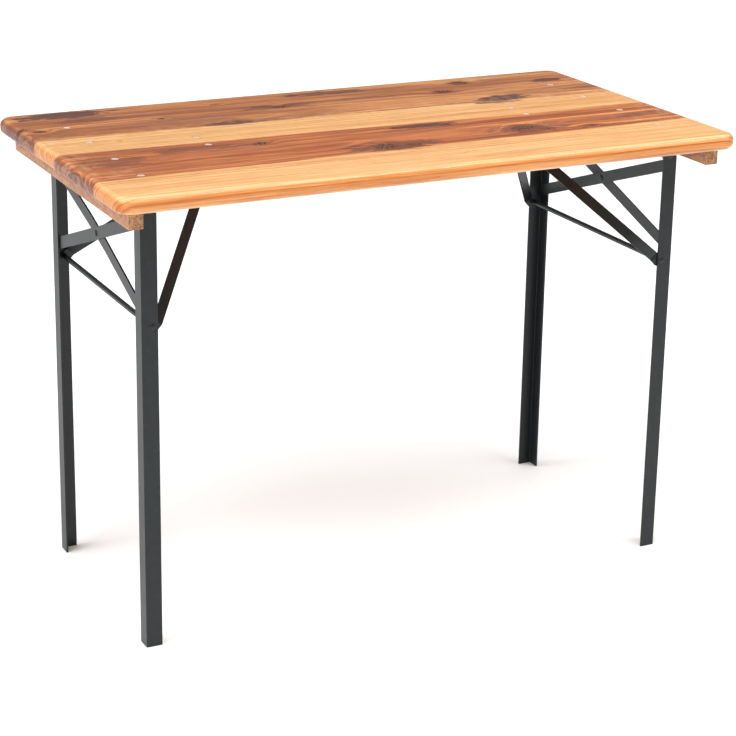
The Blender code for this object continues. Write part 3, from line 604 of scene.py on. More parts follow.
def make_growth_group():
    """Growth rings about a pith that runs along X, with slow wander, streaks and fine fibres."""
    g, given, out = shared_group(
        "growth",
        {"Position": "Vector", "Pith Y": "Float", "Pith Z": "Float", "Ring": "Float", "Wander": "Float",
         "Push": "Float", "Seed": "Float"},
        {"Late": "Float", "Streak": "Float", "Line": "Float", "Fibre": "Float", "Drift": "Float"},
    )
    seed = given["Seed"]
    x, y, z = g.split(given["Position"])
    x = g.plus(x, seed)
    slow = g.noise(g.join(g.times(x, 1.3), g.times(y, 5.0), z))
    fine = g.noise(g.join(g.times(x, 5.0), g.times(y, 32.0), g.times(z, 32.0)))
    away = g.join(0.0, g.minus(y, given["Pith Y"]), g.minus(z, given["Pith Z"]))
    radius = g.plus(g.vector("LENGTH", away), g.times(g.minus(slow, 0.5), given["Wander"]))
    radius = g.plus(radius, g.times(g.minus(fine, 0.5), 0.0032))
    radius = g.plus(radius, given["Push"])
    uneven = g.noise(g.join(g.times(radius, 38.0), seed, 0.0), 1.0, 1.0)
    count = g.plus(g.math("DIVIDE", radius, given["Ring"]), g.times(uneven, 2.2))
    phase = g.math("FRACT", count)
    late = g.times(g.math("POWER", phase, 2.4), g.minus(1.0, g.step(phase, 0.90, 1.0)))
    strength = g.noise(g.join(g.times(g.math("FLOOR", count), 0.73), seed, 3.0), 1.0, 0.0)
    late = g.times(late, g.between(g.step(strength, 0.34, 0.66), 0.25, 1.35))
    streak_at = g.join(g.times(x, 1.6), g.times(radius, 75.0), g.times(seed, 5.0))
    line_at = g.join(g.times(x, 3.5), g.times(radius, 330.0), g.times(seed, 3.0))
    fibre_at = g.join(g.times(x, 22.0), g.times(y, 900.0), g.times(z, 900.0))
    g.fill(out, {
        "Late": g.math("MINIMUM", late, 1.0),
        "Streak": g.noise(streak_at, 1.0, 5.0, 0.62),
        "Line": g.noise(line_at, 1.0, 3.0, 0.6),
        "Fibre": g.noise(fibre_at, 1.0, 3.0, 0.6),
        "Drift": slow,
    })


def make_knot_group():
    """An oval mark: how dark its core is, and how far it still bends the grain about it."""
    g, given, out = shared_group(
        "knot",
        {"Position": "Vector", "Centre": "Vector", "Spread": "Vector", "Strength": "Float", "Ragged": "Float",
         "Grain": "Vector"},
        {"Core": "Float", "Halo": "Float"},
    )
    apart = g.stretched(g.vector("SUBTRACT", given["Position"], given["Centre"]), given["Spread"])
    distance = g.vector("LENGTH", apart)
    rough = g.noise(g.stretched(given["Position"], given["Grain"]), 1.0, 5.0, 0.68)
    torn = g.plus(distance, g.times(g.minus(rough, 0.5), given["Ragged"]))
    core = g.minus(1.0, g.step(torn, 0.84, 1.02))
    halo = g.math("EXPONENT", g.times(g.times(distance, distance), -0.32))
    g.fill(out, {"Core": g.times(core, given["Strength"]), "Halo": g.times(halo, given["Strength"])})


def make_wear_group():
    """Where edges and corners are rubbed, broken up by noise."""
    g, given, out = shared_group(
        "edge wear", {"Position": "Vector", "Amount": "Float", "Scale": "Float"}, {"Mask": "Float"}
    )
    edge = g.step(g.add("ShaderNodeNewGeometry").outputs["Pointiness"], 0.53, 0.60)
    patchy = g.step(g.noise(given["Position"], given["Scale"], 4.0, 0.65), 0.46, 0.62)
    g.fill(out, {"Mask": g.times(g.times(edge, patchy), given["Amount"])})


def make_groups():
    if "growth" not in bpy.data.node_groups:
        make_growth_group()
        make_knot_group()
        make_wear_group()


def new_material(name):
    make_groups()
    mat = bpy.data.materials.new(name)
    mat.use_nodes = True
    graph = Graph(mat.node_tree)
    shader = mat.node_tree.nodes["Principled BSDF"]
    place = graph.add("ShaderNodeTexCoord").outputs["Object"]
    return mat, graph, shader, place


def marks(g, place, spots, ragged, grain):
    """Places the knot group at each spot."""
    return [
        g.use("knot", Position=place, Centre=(x, y, 0), Spread=(1 / length, 1 / width, 0),
              Strength=strength, Ragged=ragged, Grain=grain)
        for x, y, length, width, strength in spots
    ]


def board_material(name, pith, ring, wander, seed, tint):
    """Lacquered board: rings, streaks, knots, the drifting line between heartwood and sapwood."""
    wood = settings("wood")
    mat, g, shader, place = new_material(name + "_board_lacquered")
    core = halo = cloud = 0.0
    for mark in marks(g, place, KNOTS[name], 1.9, (105, 300, 120)):
        core = g.math("MAXIMUM", core, mark["Core"])
        halo = g.plus(halo, mark["Halo"])
    for mark in marks(g, place, CLOUDS[name], 2.6, (26, 105, 40)):
        cloud = g.math("MAXIMUM", cloud, mark["Core"])
    grown = g.use("growth", Position=place, Pith_Y=pith[0], Pith_Z=pith[1], Ring=ring, Wander=wander,
                  Push=g.times(halo, 0.018), Seed=seed)
    late, streak, line_mark, fibre, drift = (grown[k] for k in ("Late", "Streak", "Line", "Fibre", "Drift"))
    x, y, _ = g.split(place)

    # heartwood between two wavy lines on each side of the pale bands
    wave = g.noise(g.join(g.times(x, 3.2), g.times(y, 3.0), seed))
    wave = g.times(g.minus(wave, 0.5), 0.022)
    line = g.plus(g.plus(y, wave), g.times(halo, 0.003))
    back_heart = g.step(g.plus(line, g.times(x, 0.014)), 0.0865, 0.0905)
    low = g.step(g.minus(line, g.times(x, 0.026)), -0.178, -0.174)
    high = g.step(g.plus(line, g.times(x, 0.023)), -0.0195, -0.0155)
    heart = g.math("MAXIMUM", back_heart, g.times(low, g.minus(1.0, high)))

    # the two woods
    line_tone = g.step(line_mark, 0.36, 0.64)
    red = g.mix(g.step(streak, 0.32, 0.66), wood.heartwood_dark, wood.heartwood)
    red = g.laid(red, SALMON_STREAK, g.step(streak, 0.52, 0.74), 0.85)
    red = g.laid(red, wood.heartwood_dark, late, 0.55)
    dusk = g.noise(g.stretched(place, (5.0, 26.0, 9.0)), 1.0, 4.0, 0.62, 0.6)
    red = g.laid(red, DUSKY_RED, g.step(dusk, 0.50, 0.68), 0.50)
    red = g.tinted(red, g.mix(line_tone, (0.68, 0.60, 0.56), (1.12, 1.12, 1.10)))
    red = g.tinted(red, tint)
    pale = g.laid(wood.sapwood, wood.sapwood_dark, late, 0.90)
    pale = g.laid(pale, CREAM_STREAK, g.step(streak, 0.50, 0.72), 0.60)
    pale = g.laid(pale, HONEY_STREAK, g.step(streak, 0.46, 0.34), 0.60)
    pale = g.laid(pale, RED_DRIFT, g.step(drift, 0.50, 0.72), 0.30)
    pale = g.tinted(pale, g.mix(line_tone, (0.87, 0.72, 0.56), (1.03, 1.05, 1.06)))
    colour = g.mix(heart, pale, red)

    # flecks, clouds and knots
    fleck = g.noise(g.stretched(place, (11.0, 380.0, 380.0)), 1.0, 3.0, 0.6)
    colour = g.laid(colour, g.mix(heart, *FLECKS), g.step(fleck, 0.60, 0.70), 0.60)
    colour = g.laid(colour, DARK_CLOUD, cloud, 0.92)
    colour = g.laid(colour, KNOT_SURROUND, g.step(halo, 0.30, 0.90), 0.70)
    bark = g.noise(g.stretched(place, (230.0, 520.0, 300.0)), 1.0, 4.0, 0.7)
    knot_colour = g.mix(g.step(bark, 0.47, 0.57), wood.knot, KNOT_RED)
    knot_colour = g.mix(g.step(bark, 0.570, 0.615), knot_colour, KNOT_CRACK)
    colour = g.mix(core, colour, knot_colour)
    colour = g.tinted(colour, g.mix(g.step(fibre, 0.30, 0.72), (0.62, 0.58, 0.55), (1.18, 1.18, 1.18)), 0.5)

    # faces turned to the front and back are tinted deeper and more orange by which way they face; end grain
    # drinks lacquer: deeper in colour, with dots of open pores
    facing_x, facing_y, facing_z = g.facing()
    steep = g.minus(1.0, g.step(g.math("ABSOLUTE", facing_z), 0.30, 0.86))
    side = g.times(steep, g.step(g.math("ABSOLUTE", facing_y), 0.2, 0.5))
    colour = g.mix(side, colour, g.tinted(colour, (0.92, 0.66, 0.42)))
    end = g.step(g.math("ABSOLUTE", facing_x), 0.45, 0.93)
    pores = g.noise(g.stretched(place, (60, 1400, 1400)))
    soaked = g.tinted(colour, g.mix(heart, *SOAKED_ENDS))
    soaked = g.laid(soaked, g.mix(heart, *SOAKED_RINGS), g.step(late, 0.12, 0.62), 0.80)
    soaked = g.laid(soaked, OPEN_PORE, g.step(pores, 0.52, 0.68), 0.35)
    colour = g.mix(end, colour, soaked)
    colour = g.rubbed(colour, RUBBED_BOARD, place, 0.18, 60.0)

    height = g.plus(g.times(fibre, 0.35), g.times(late, 0.35))
    height = g.minus(height, g.times(core, g.times(g.step(bark, 0.5, 0.68), 0.9)))
    rough = g.plus(g.between(fibre, 0.26, 0.42), g.times(end, 0.18))
    g.fill(shader, {
        "Base Color": colour,
        "Roughness": g.math("ADD", rough, g.times(core, 0.12), clamp=True),
        "Normal": g.bump(height, 0.35, 0.0004),
        "Coat Weight": g.between(end, 0.35, 0.15),
        "Coat Roughness": 0.10,
        "Specular IOR Level": 0.32,
    })
    return mat


def batten_material(side):
    """Sawn softwood along Y: fine saw lines across it, rough orange end grain."""
    mat, g, shader, place = new_material(side + "_batten_sawn")
    inputs = {"Vector": place, "Rotation": (0, 0, math.pi / 2)}
    along = g.add("ShaderNodeMapping", inputs, vector_type="POINT").outputs[0]
    grown = g.use("growth", Position=along, Pith_Y=0.514 * SIDES[side] + 0.02, Pith_Z=0.69, Ring=0.0034,
                  Wander=0.01, Push=0.0, Seed=3.1 if side == "left" else 7.7)
    late, streak, fibre = (grown[k] for k in ("Late", "Streak", "Fibre"))
    _, y, _ = g.split(place)
    ripple = g.noise(place, 30.0)
    saw = g.math("SINE", g.plus(g.times(y, 2600.0), g.times(ripple, 9.0)))
    saw = g.step(saw, -0.4, 1.0)
    colour = g.mix(g.step(streak, 0.3, 0.7), *BATTEN_FACE)
    colour = g.laid(colour, BATTEN_RING, late, 0.5)
    colour = g.laid(colour, BATTEN_BLOTCH, g.step(g.noise(place, 55.0, 3.0, 0.6), 0.50, 0.70), 0.35)
    colour = g.laid(colour, BATTEN_SAW_LINE, saw, 0.12)
    end = g.step(g.math("ABSOLUTE", g.facing()[1]), 0.6, 0.95)
    fray = g.noise(g.stretched(place, (700, 60, 700)), 1.0, 4.0, 0.7)
    end_colour = g.mix(g.step(fray, 0.42, 0.62), *BATTEN_END)
    colour = g.mix(end, colour, g.laid(end_colour, BATTEN_END_RING, late, 0.6))
    height = g.plus(g.times(fibre, 0.5), g.times(saw, 0.3))
    height = g.plus(height, g.times(g.times(fray, end), 1.4))
    g.fill(shader, {
        "Base Color": g.rubbed(colour, RUBBED_BATTEN, place, 0.45, 120.0),
        "Roughness": g.between(fibre, 0.62, 0.85),
        "Normal": g.bump(height, 0.7, 0.0006),
    })
    return mat


def paint_material():
    """Satin powder coat over steel: orange peel, faint cloudiness, rubbed edges."""
    paint = settings("steel").paint
    mat, g, shader, place = new_material("powder_coat")
    cloud = g.step(g.noise(place, 9.0, 3.0, 0.6), 0.35, 0.65)
    colour = g.mix(cloud, tuple(c * 0.94 for c in paint), tuple(c * 1.08 for c in paint))
    peel = g.noise(place, 900.0)
    speck = g.noise(place, 2600.0, 1.0)
    smear = g.noise(place, 26.0, 4.0, 0.62)
    g.fill(shader, {
        "Base Color": g.rubbed(colour, RUBBED_PAINT, place, 0.06, 75.0),
        "Roughness": g.between(smear, 0.35, 0.42),
        "Normal": g.bump(g.plus(peel, g.times(speck, 0.35)), 0.22, 0.0002),
        "Specular IOR Level": 0.38,
    })
    return mat


def metal_material(name, colour, rough_low, rough_high, stain, metallic=1.0):
    """Plated or bare metal with soft blotches, fine scratches and duller low spots."""
    mat, g, shader, place = new_material(name)
    blotch = g.noise(place, 240.0, 3.0, 0.6)
    scratch = g.noise(g.stretched(place, (300, 3200, 1500)))
    tint = g.mix(g.step(blotch, 0.38, 0.66), tuple(c * 0.74 for c in colour), colour)
    tint = g.laid(tint, stain, g.step(scratch, 0.55, 0.75), 0.25)
    bare = tuple(min(1.0, c * 1.25) for c in colour)
    g.fill(shader, {
        "Base Color": g.rubbed(tint, bare, place, 0.5, 400.0),
        "Roughness": g.between(blotch, rough_low, rough_high),
        "Normal": g.bump(scratch, 0.12, 0.0001),
        "Metallic": metallic,
    })
    return mat


def steel_finish(name):
    """One of the shared steel finishes, each made once."""
    steel = settings("steel")
    made = bpy.data.materials.get(name)
    if made:
        return made
    if name == "powder_coat":
        return paint_material()
    if name == "lacquered_rivet":
        return metal_material(name, tuple(steel.rivet), 0.30, 0.50, RIVET_STAIN, metallic=0.45)
    if name == "zinc_plate":
        return metal_material(name, tuple(steel.zinc), 0.24, 0.46, ZINC_STAIN)
    return metal_material("spring_steel", tuple(steel.spring), 0.20, 0.38, SPRING_STAIN)


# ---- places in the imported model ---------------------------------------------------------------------
class Places:
    """Where the axes of one side's joints are."""

    def __init__(self, side):
        self.pivot = middle_of(side + "_front_pivot_rivet")
        self.tie = middle_of(side + "_tie_rod")
        self.pin = middle_of(side + "_strut_pin")
        self.axle = middle_of(side + "_lever_pin")


def nodes_ending(*endings):
    return [node for node in sorted(BODY_OF) if node.endswith(endings)]


def rivet_names():
    return nodes_ending("hinge_rivet", "catch_rivet")


def screw_names():
    return nodes_ending("batten_screw")


def lug_line(side):
    """Middle of the strut lugs, just inside the leg's front flange."""
    return -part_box(side + "_front_leg")[0].y - STEEL - SIDE_GAP - STEEL / 2


# ---- pieces -----------------------------------------------------------------------------------------
def drill_for_rivet(node):
    """A stepped cutter: the head's pocket from above, then the hole."""
    low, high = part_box(node)
    middle = (low + high) / 2
    head = (high.x - low.x) / 2 + RIVET_HEAD_PLAY
    top, bottom = CAD_BOX[1].z + DRILL_OVERRUN, low.z - DRILL_OVERRUN
    shoulder = high.z - RIVET_POCKET_DEPTH
    profile = [
        (0, top), (head, top), (head, shoulder), (RIVET_HOLE, shoulder), (RIVET_HOLE, bottom), (0, bottom)
    ]
    return moved(turned(profile, 48), Matrix.Translation((middle.x, middle.y, 0)))


def drill_for_screw(node):
    """A countersunk cutter from below."""
    low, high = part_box(node)
    middle = (low + high) / 2
    head = (high.x - low.x) / 2 + FIT
    shank = SCREW_SHANK + FIT
    top, bottom = high.z + 0.0006, low.z - DRILL_OVERRUN
    rim = low.z + SCREW_RIM
    profile = [
        (0, top), (shank, top), (shank, rim + head - shank), (head, rim), (head, bottom), (0, bottom)
    ]
    return moved(turned(profile, HOLE_STEPS), Matrix.Translation((middle.x, middle.y, 0)))


def near(node, low, high, reach=0.012):
    place = middle_of(node)
    inside = low.x - reach < place.x < high.x + reach
    return inside and low.y - reach < place.y < high.y + reach


def make_boards():
    wood = settings("wood")
    ring = wood.ring_width
    growth = {                # pith (y, z), ring width, wander, seed, tint
        "back": ((0.13, 0.715), ring * 1.15, 0.020, 2.3, (0.98, 1.16, 1.26)),
        "sapwood": ((0.16, 0.690), ring, 0.010, 5.9, (1, 1, 1)),
        "middle": ((-0.11, 0.700), ring * 1.25, 0.022, 9.4, (0.98, 0.95, 0.93)),
        "front": ((-0.42, 0.640), ring * 1.15, 0.008, 13.7, (1, 1, 1)),
    }
    boxes = {name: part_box(name + "_board") for name in BOARDS}
    whole_low = Vector(map(min, *(low for low, _ in boxes.values())))
    whole_high = Vector(map(max, *(high for _, high in boxes.values())))
    for name in BOARDS:
        bm = block(whole_low, whole_high)
        upright = [e for e in bm.edges if abs(e.verts[0].co.z - e.verts[1].co.z) > 0.01]
        rounded(bm, upright, wood.corner_radius, 18)
        rims = [e for e in bm.edges if abs(e.verts[0].co.z - e.verts[1].co.z) < 0.01]
        rounded(bm, rims, wood.edge_radius, 10)
        low, high = boxes[name]
        for y, direction, edge in ((low.y, -1, whole_low.y), (high.y, 1, whole_high.y)):
            if abs(y - edge) < 0.001:
                continue
            faces = [box[0 if direction > 0 else 1].y for other, box in boxes.items() if other != name]
            neighbour = min(faces, key=lambda face: abs(face - y))
            plane = (y + neighbour) / 2 - direction * JOINT_GAP / 2
            cut_away(bm, (0, plane, 0), (0, direction, 0))
        bmesh.ops.recalc_face_normals(bm, faces=bm.faces)
        drills = [drill_for_rivet(n) for n in rivet_names() if near(n, low, high)]
        drills += [drill_for_screw(n) for n in screw_names() if near(n, low, high)]
        board_look = board_material(name, *growth[name])
        finish_piece(name + "_board", "planed", bm, board_look, drills)


def make_battens():
    for side in SIDES:
        low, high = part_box(side + "_batten")
        bm = block(low, high)
        lower = [e for e in bm.edges if sum(v.co.z > (low.z + high.z) / 2 for v in e.verts) < 2]
        rounded(bm, lower, BATTEN_EDGE, 3)
        drills = [drill_for_screw(n) for n in screw_names() if n.startswith(side)]
        finish_piece(side + "_batten", "sawn", bm, batten_material(side), drills)


def make_screws():
    """Countersunk heads with a cross recess, seen from below."""
    zinc = steel_finish("zinc_plate")
    recess = Vector(SCREW_RECESS)
    for node in screw_names():
        low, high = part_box(node)
        middle = (low + high) / 2
        head = (high.x - low.x) / 2
        length = high.z - low.z
        profile = [
            (0, length), (SCREW_SHANK / 2, length - 0.0022), (SCREW_SHANK, length - 0.0050),
            (SCREW_SHANK, 0.0032), (head, SCREW_RIM), (head - 0.0002, 0.0003), (head - 0.0006, 0), (0, 0)
        ]
        place = Matrix.Translation((middle.x, middle.y, low.z))
        twist = 0.4 + middle.y * 9        # each one stopped at its own angle
        slots = [
            moved(block(-recess, recess), place @ Matrix.Rotation(turn, 4, "Z"))
            for turn in (twist, twist + math.pi / 2)
        ]
        finish_piece(node, "driven", moved(turned(profile, 32), place), zinc, slots)


def make_top_rivets():
    """Flush heads with a rounded rim and a slight dish, tails closed over the fittings below."""
    lacquered = steel_finish("lacquered_rivet")
    for node in rivet_names():
        low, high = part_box(node)
        middle = (low + high) / 2
        head = (high.x - low.x) / 2
        under, tail = high.z - RIVET_HEAD_DEPTH, low.z + 0.002
        profile = [
            (0, high.z - 0.00025), (head * 0.45, high.z - 0.0002), (head - 0.0011, high.z),
            (head - 0.0004, high.z - 0.00012), (head, high.z - 0.0006), (head, under),
            (RIVET_SHANK, under), (RIVET_SHANK, tail)
        ]
        profile += dome(RIVET_TAIL, 0.002, tail, rise=-1)[::-1]
        bm = moved(turned(profile, 48), Matrix.Translation((middle.x, middle.y, 0)))
        finish_piece(node, "closed", bm, lacquered, smooth_angle=40)


def make_legs():
    paint = steel_finish("powder_coat")
    edge = settings("steel").edge
    for side, sign in SIDES.items():
        places = Places(side)
        for end, along in ENDS.items():
            node = f"{side}_{end}_leg"
            low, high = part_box(node)
            corner = Vector((low.x if sign < 0 else high.x, low.y if along < 0 else high.y, low.z))
            reach = high.x - low.x
            outline = [(0, 0), (reach, 0), (reach, STEEL), (STEEL, STEEL), (STEEL, reach), (0, reach)]
            bm = bmesh.new()
            verts = [bm.verts.new(corner + Vector((-sign * x, -along * y, 0))) for x, y in outline]
            bm.faces.new(verts)
            rounded(bm, [verts[0]], LEG_CORNER_ROUND, 5, "VERTICES")
            rounded(bm, [verts[3]], LEG_ROOT_ROUND, 5, "VERTICES")
            grown = bmesh.ops.extrude_face_region(bm, geom=bm.faces[:])["geom"]
            top = [g for g in grown if isinstance(g, bmesh.types.BMVert)]
            bmesh.ops.translate(bm, vec=(0, 0, high.z - low.z), verts=top)
            free = corner.x - sign * reach
            cut_away(bm, (free + sign * LEG_CORNER_CUT, 0, high.z), (-sign, 0, 1))
            bmesh.ops.recalc_face_normals(bm, faces=bm.faces)
            soften(bm, edge, 44)
            holes = [
                drill(radius, 0.01, along_y((place.x, corner.y, place.z)))
                for place, radius in ((places.pivot, PIVOT_HOLE), (places.tie, ROD_HOLE))
            ]
            finish_piece(node, "painted", bm, paint, holes)


def make_braces():
    paint = steel_finish("powder_coat")
    edge = settings("steel").edge
    for side, sign in SIDES.items():
        for which, rising in (("outer", sign), ("inner", -sign)):
            node = f"{side}_{which}_brace"
            low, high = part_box(node)
            half = (high.y - low.y) / 2
            tall = (high.z - low.z) - BRACE_RISE * 2 * half
            outer_x = low.x if sign < 0 else high.x
            x = outer_x - sign * STEEL / 2
            bar = Bar((x, -half, 0), (0, 1, 0), STEEL, tall)
            bar.straight(2 * half, 60 if which == "inner" else 1)
            bm = bar.done()
            soften(bm, edge)
            if which == "inner":
                step = -sign * (high.x - low.x - STEEL)
                for vert in bm.verts:
                    share = (BRACE_CROSSING + BRACE_BOW - abs(vert.co.y)) / BRACE_BOW
                    vert.co.x += step * min(1.0, max(0.0, share))
            shear = Matrix.Translation((0, 0, (low.z + high.z) / 2))
            shear[2][1] = rising * BRACE_RISE
            moved(bm, shear)
            hole = drill(ROD_HOLE, 0.012, along_x(Vector((x, 0, (low.z + high.z) / 2))))
            finish_piece(node, "painted", bm, paint, [hole])


def make_rods():
    """Tie rods, brace rivets and hinge pivots, with domed heads."""
    paint = steel_finish("powder_coat")
    for side in SIDES:
        tie = Places(side).tie
        node = side + "_tie_rod"
        shoulder = lug_line(side) - STEEL / 2 - SIDE_GAP
        bm = headed_pin(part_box(node)[1].y, head=0.0055, height=0.002, shank=0.003, thick=(shoulder, 0.0045))
        finish_piece(node, "painted", moved(bm, along_y((tie.x, 0, tie.z))), paint)

        node = side + "_brace_rivet"
        low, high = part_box(node)
        bm = headed_pin((high.x - low.x) / 2, head=0.0055, height=0.0018, shank=0.003)
        finish_piece(node, "painted", moved(bm, along_x((low + high) / 2)), paint)

        for end in ENDS:
            node = f"{side}_{end}_pivot_rivet"
            low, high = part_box(node)
            bm = headed_pin(
                (high.y - low.y) / 2, head=0.007, height=0.0025, shank=0.004, lip=0.0003, steps=40
            )
            finish_piece(node, "closed", moved(bm, along_y((low + high) / 2)), paint)


def make_struts():
    """Bent arms from the tie rod to the cross pin, and the pin itself."""
    paint, zinc = steel_finish("powder_coat"), steel_finish("zinc_plate")
    edge = settings("steel").edge
    for side, sign in SIDES.items():
        places = Places(side)
        tie, pin = places.tie, places.pin
        lug = lug_line(side)
        run = Vector((pin.x - tie.x, 0, pin.z - tie.z))
        reach = run.length
        angle = math.atan2(run.z, abs(run.x))
        across, ahead = lug - STRUT_TIP_Y, reach - STRUT_TIP - STRUT_LUG
        slope = math.atan2(across, ahead)
        tangent = STRUT_BEND * math.tan(slope / 2)
        diagonal = math.hypot(across, ahead) - 2 * tangent
        turn = -angle if sign < 0 else angle - math.pi
        place = Matrix.Translation((tie.x, 0, tie.z)) @ Matrix.Rotation(turn, 4, "Y")
        for end, along in ENDS.items():
            bar = Bar((-STRUT_EYE, along * lug, 0), (1, 0, 0), STEEL, STRUT_WIDTH)
            bar.straight(STRUT_EYE + STRUT_LUG - tangent)
            bar.bend(-along * slope, STRUT_BEND).straight(diagonal).bend(along * slope, STRUT_BEND)
            bar.straight(STRUT_TIP - tangent + STRUT_EYE)
            bm = bar.done()
            round_ends(bm, (-STRUT_EYE, reach + STRUT_EYE), STRUT_END_ROUND, 8)
            soften(bm, edge, 60)
            moved(bm, place @ Matrix.Translation((0, 0, sign * STRUT_OFFSET)))
            holes = [
                drill(ROD_HOLE, 0.008, along_y((tie.x, along * lug, tie.z))),
                drill(PIN_HOLE, 0.008, along_y((pin.x, along * STRUT_TIP_Y, pin.z))),
            ]
            finish_piece(f"{side}_{end}_strut_arm", "painted", bm, paint, holes)
        node = side + "_strut_pin"
        shoulder = STRUT_TIP_Y - STEEL / 2 - SIDE_GAP
        bm = headed_pin(
            size_of(node).y / 2, head=0.0045, height=0.0013, shank=0.0025, thick=(shoulder, 0.004)
        )
        finish_piece(node, "turned", moved(bm, along_y(pin)), zinc)


def plate_corners(bm, axis, limit):
    """The edges through a plate's thickness that lie below the limit on one axis."""
    return [
        e for e in bm.edges
        if all(v.co[axis] < limit for v in e.verts) and abs(e.verts[0].co.z - e.verts[1].co.z) < 0.0001
    ]


def make_hinges():
    zinc = steel_finish("zinc_plate")
    for side in SIDES:
        pivot = Places(side).pivot
        for end, along in ENDS.items():
            node = f"{side}_{end}_hinge_plate"
            low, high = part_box(node)
            inner, outer = sorted((abs(low.y), abs(high.y)))
            level = high.z - HINGE_PLATE / 2
            bar = Bar((inner, level, 0), (1, 0, 0), HINGE_PLATE, high.x - low.x)
            bar.straight(outer - HINGE_PLATE / 2 - HINGE_BEND - inner)
            bar.bend(-math.pi / 2, HINGE_BEND, 8)
            bar.straight(level - HINGE_BEND - low.z)
            bm = bar.done()
            rounded(bm, plate_corners(bm, 1, low.z + 0.0001), HINGE_EAR_ROUND, 7)
            rounded(bm, plate_corners(bm, 0, inner + 0.0001), HINGE_END_ROUND, 5)
            soften(bm, 0.0003, 60)
            moved(bm, Matrix(((0, 0, 1, pivot.x), (along, 0, 0, 0), (0, 1, 0, 0), (0, 0, 0, 1))))
            bmesh.ops.recalc_face_normals(bm, faces=bm.faces)
            spots = [middle_of(n) for n in nodes_ending("hinge_rivet") if n.startswith(f"{side}_{end}")]
            holes = [drill(RIVET_HOLE, 0.006, Matrix.Translation((spot.x, spot.y, level))) for spot in spots]
            ear_y = along * (outer - HINGE_PLATE / 2)
            holes.append(drill(PIVOT_HOLE, 0.008, along_y((pivot.x, ear_y, pivot.z))))
            finish_piece(node, "pressed", bm, zinc, holes)


def make_catches():
    """Hook plates, levers, lever pins and torsion springs."""
    zinc, spring = steel_finish("zinc_plate"), steel_finish("spring_steel")
    for side, sign in SIDES.items():
        axle = Places(side).axle
        plate = cad_copy(side + "_catch_plate")
        soften(plate, 0.00025, 60)
        finish_piece(side + "_catch_plate", "pressed", plate, zinc)
        lever = cad_copy(side + "_catch_lever")
        soften(lever, 0.00015, 60)
        finish_piece(side + "_catch_lever", "sprung", lever, spring)
        node = side + "_lever_pin"
        bm = headed_pin(size_of(node).y / 2, head=0.0024, height=0.0012, shank=0.0015, steps=24, points=4)
        finish_piece(node, "turned", moved(bm, along_y(axle)), zinc)
        make_spring(side + "_catch_spring", -sign, axle)


def make_spring(node, inward, axle):
    """A coil about the lever's pin, with two straight tails."""
    low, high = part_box(node)
    radius = (high.z - low.z) / 2 - WIRE
    tail = (high.x - low.x) / 2
    per_turn = 24
    start = Vector((axle.x, low.y + WIRE, axle.z))
    pitch = (high.y - low.y - 2 * WIRE) / SPRING_TURNS
    points = [Vector((inward * tail, 0, radius))]
    for i in range(SPRING_TURNS * per_turn + 1):
        a = math.pi / 2 + 2 * math.pi * i / per_turn
        points.append(Vector((inward * radius * math.cos(a), pitch * i / per_turn, radius * math.sin(a))))
    points.append(Vector((-inward * tail, points[-1].y, radius)))
    curve = bpy.data.curves.new("wire", "CURVE")
    curve.dimensions = "3D"
    curve.bevel_depth = WIRE
    curve.bevel_resolution = 2
    curve.use_fill_caps = True
    spline = curve.splines.new("POLY")
    spline.points.add(len(points) - 1)
    for point, place in zip(spline.points, points):
        point.co = (*(start + place), 1)
    obj = bpy.data.objects.new("wire", curve)
    bpy.context.scene.collection.objects.link(obj)
    bpy.context.view_layer.update()
    mesh = bpy.data.meshes.new_from_object(obj.evaluated_get(bpy.context.evaluated_depsgraph_get()))
    bpy.data.objects.remove(obj, do_unlink=True)
    bm = bmesh.new()
    bm.from_mesh(mesh)
    bmesh.ops.remove_doubles(bm, verts=bm.verts, dist=0.000002)
    finish_piece(node, "wound", bm, steel_finish("spring_steel"), smooth_angle=60)


# ---- stage ------------------------------------------------------------------------------------------
CAMERA_PLACE = (-1.5234, -3.0219, 1.5397)
CAMERA_YAW = -0.46917
CAMERA_PITCH = 0.2986
CAMERA_ROLL = 0.01728
CAMERA_LENS = 100.6
CAMERA_SHIFT_Y = -0.12
KEY_FROM = (-3.0, -0.4, 3.2)
STRIP_PLACE = (0.6, -1.3, 2.9)
STRIP_AIM = (0.3, -0.3, 0.77)
STRIP_SIZE = (4.0, 0.14)


def placed(name, data):
    obj = bpy.data.objects.new(name, data)
    bpy.context.scene.collection.objects.link(obj)
    return obj


def make_camera():
    data = bpy.data.cameras.new("camera")
    data.sensor_width = 36.0
    data.lens = CAMERA_LENS
    data.shift_y = CAMERA_SHIFT_Y
    camera = placed("camera", data)
    ahead = Vector((
        -math.sin(CAMERA_YAW) * math.cos(CAMERA_PITCH), math.cos(CAMERA_YAW) * math.cos(CAMERA_PITCH),
        -math.sin(CAMERA_PITCH)
    ))
    right = ahead.cross(Vector((0, 0, 1))).normalized()
    up = right.cross(ahead)
    c, s = math.cos(CAMERA_ROLL), math.sin(CAMERA_ROLL)
    right, up = right * c + up * s, up * c - right * s
    camera.matrix_world = Matrix.Translation(CAMERA_PLACE) @ Matrix((right, up, -ahead)).transposed().to_4x4()
    bpy.context.scene.camera = camera


def strip_light(power):
    """A long narrow lamp whose reflection runs along the front edge."""
    data = bpy.data.lights.new("strip", "AREA")
    data.shape = "RECTANGLE"
    data.size, data.size_y = STRIP_SIZE
    data.energy = power
    light = placed("strip", data)
    light.location = STRIP_PLACE
    light.rotation_euler = (Vector(STRIP_PLACE) - Vector(STRIP_AIM)).to_track_quat("Z", "Y").to_euler()


def key_light(strength, spread):
    """An even light from far away on the left, that fills a wide angle."""
    data = bpy.data.lights.new("key", "SUN")
    data.energy = strength
    data.angle = spread
    light = placed("key", data)
    light.location = KEY_FROM
    light.rotation_euler = Vector(KEY_FROM).to_track_quat("Z", "Y").to_euler()


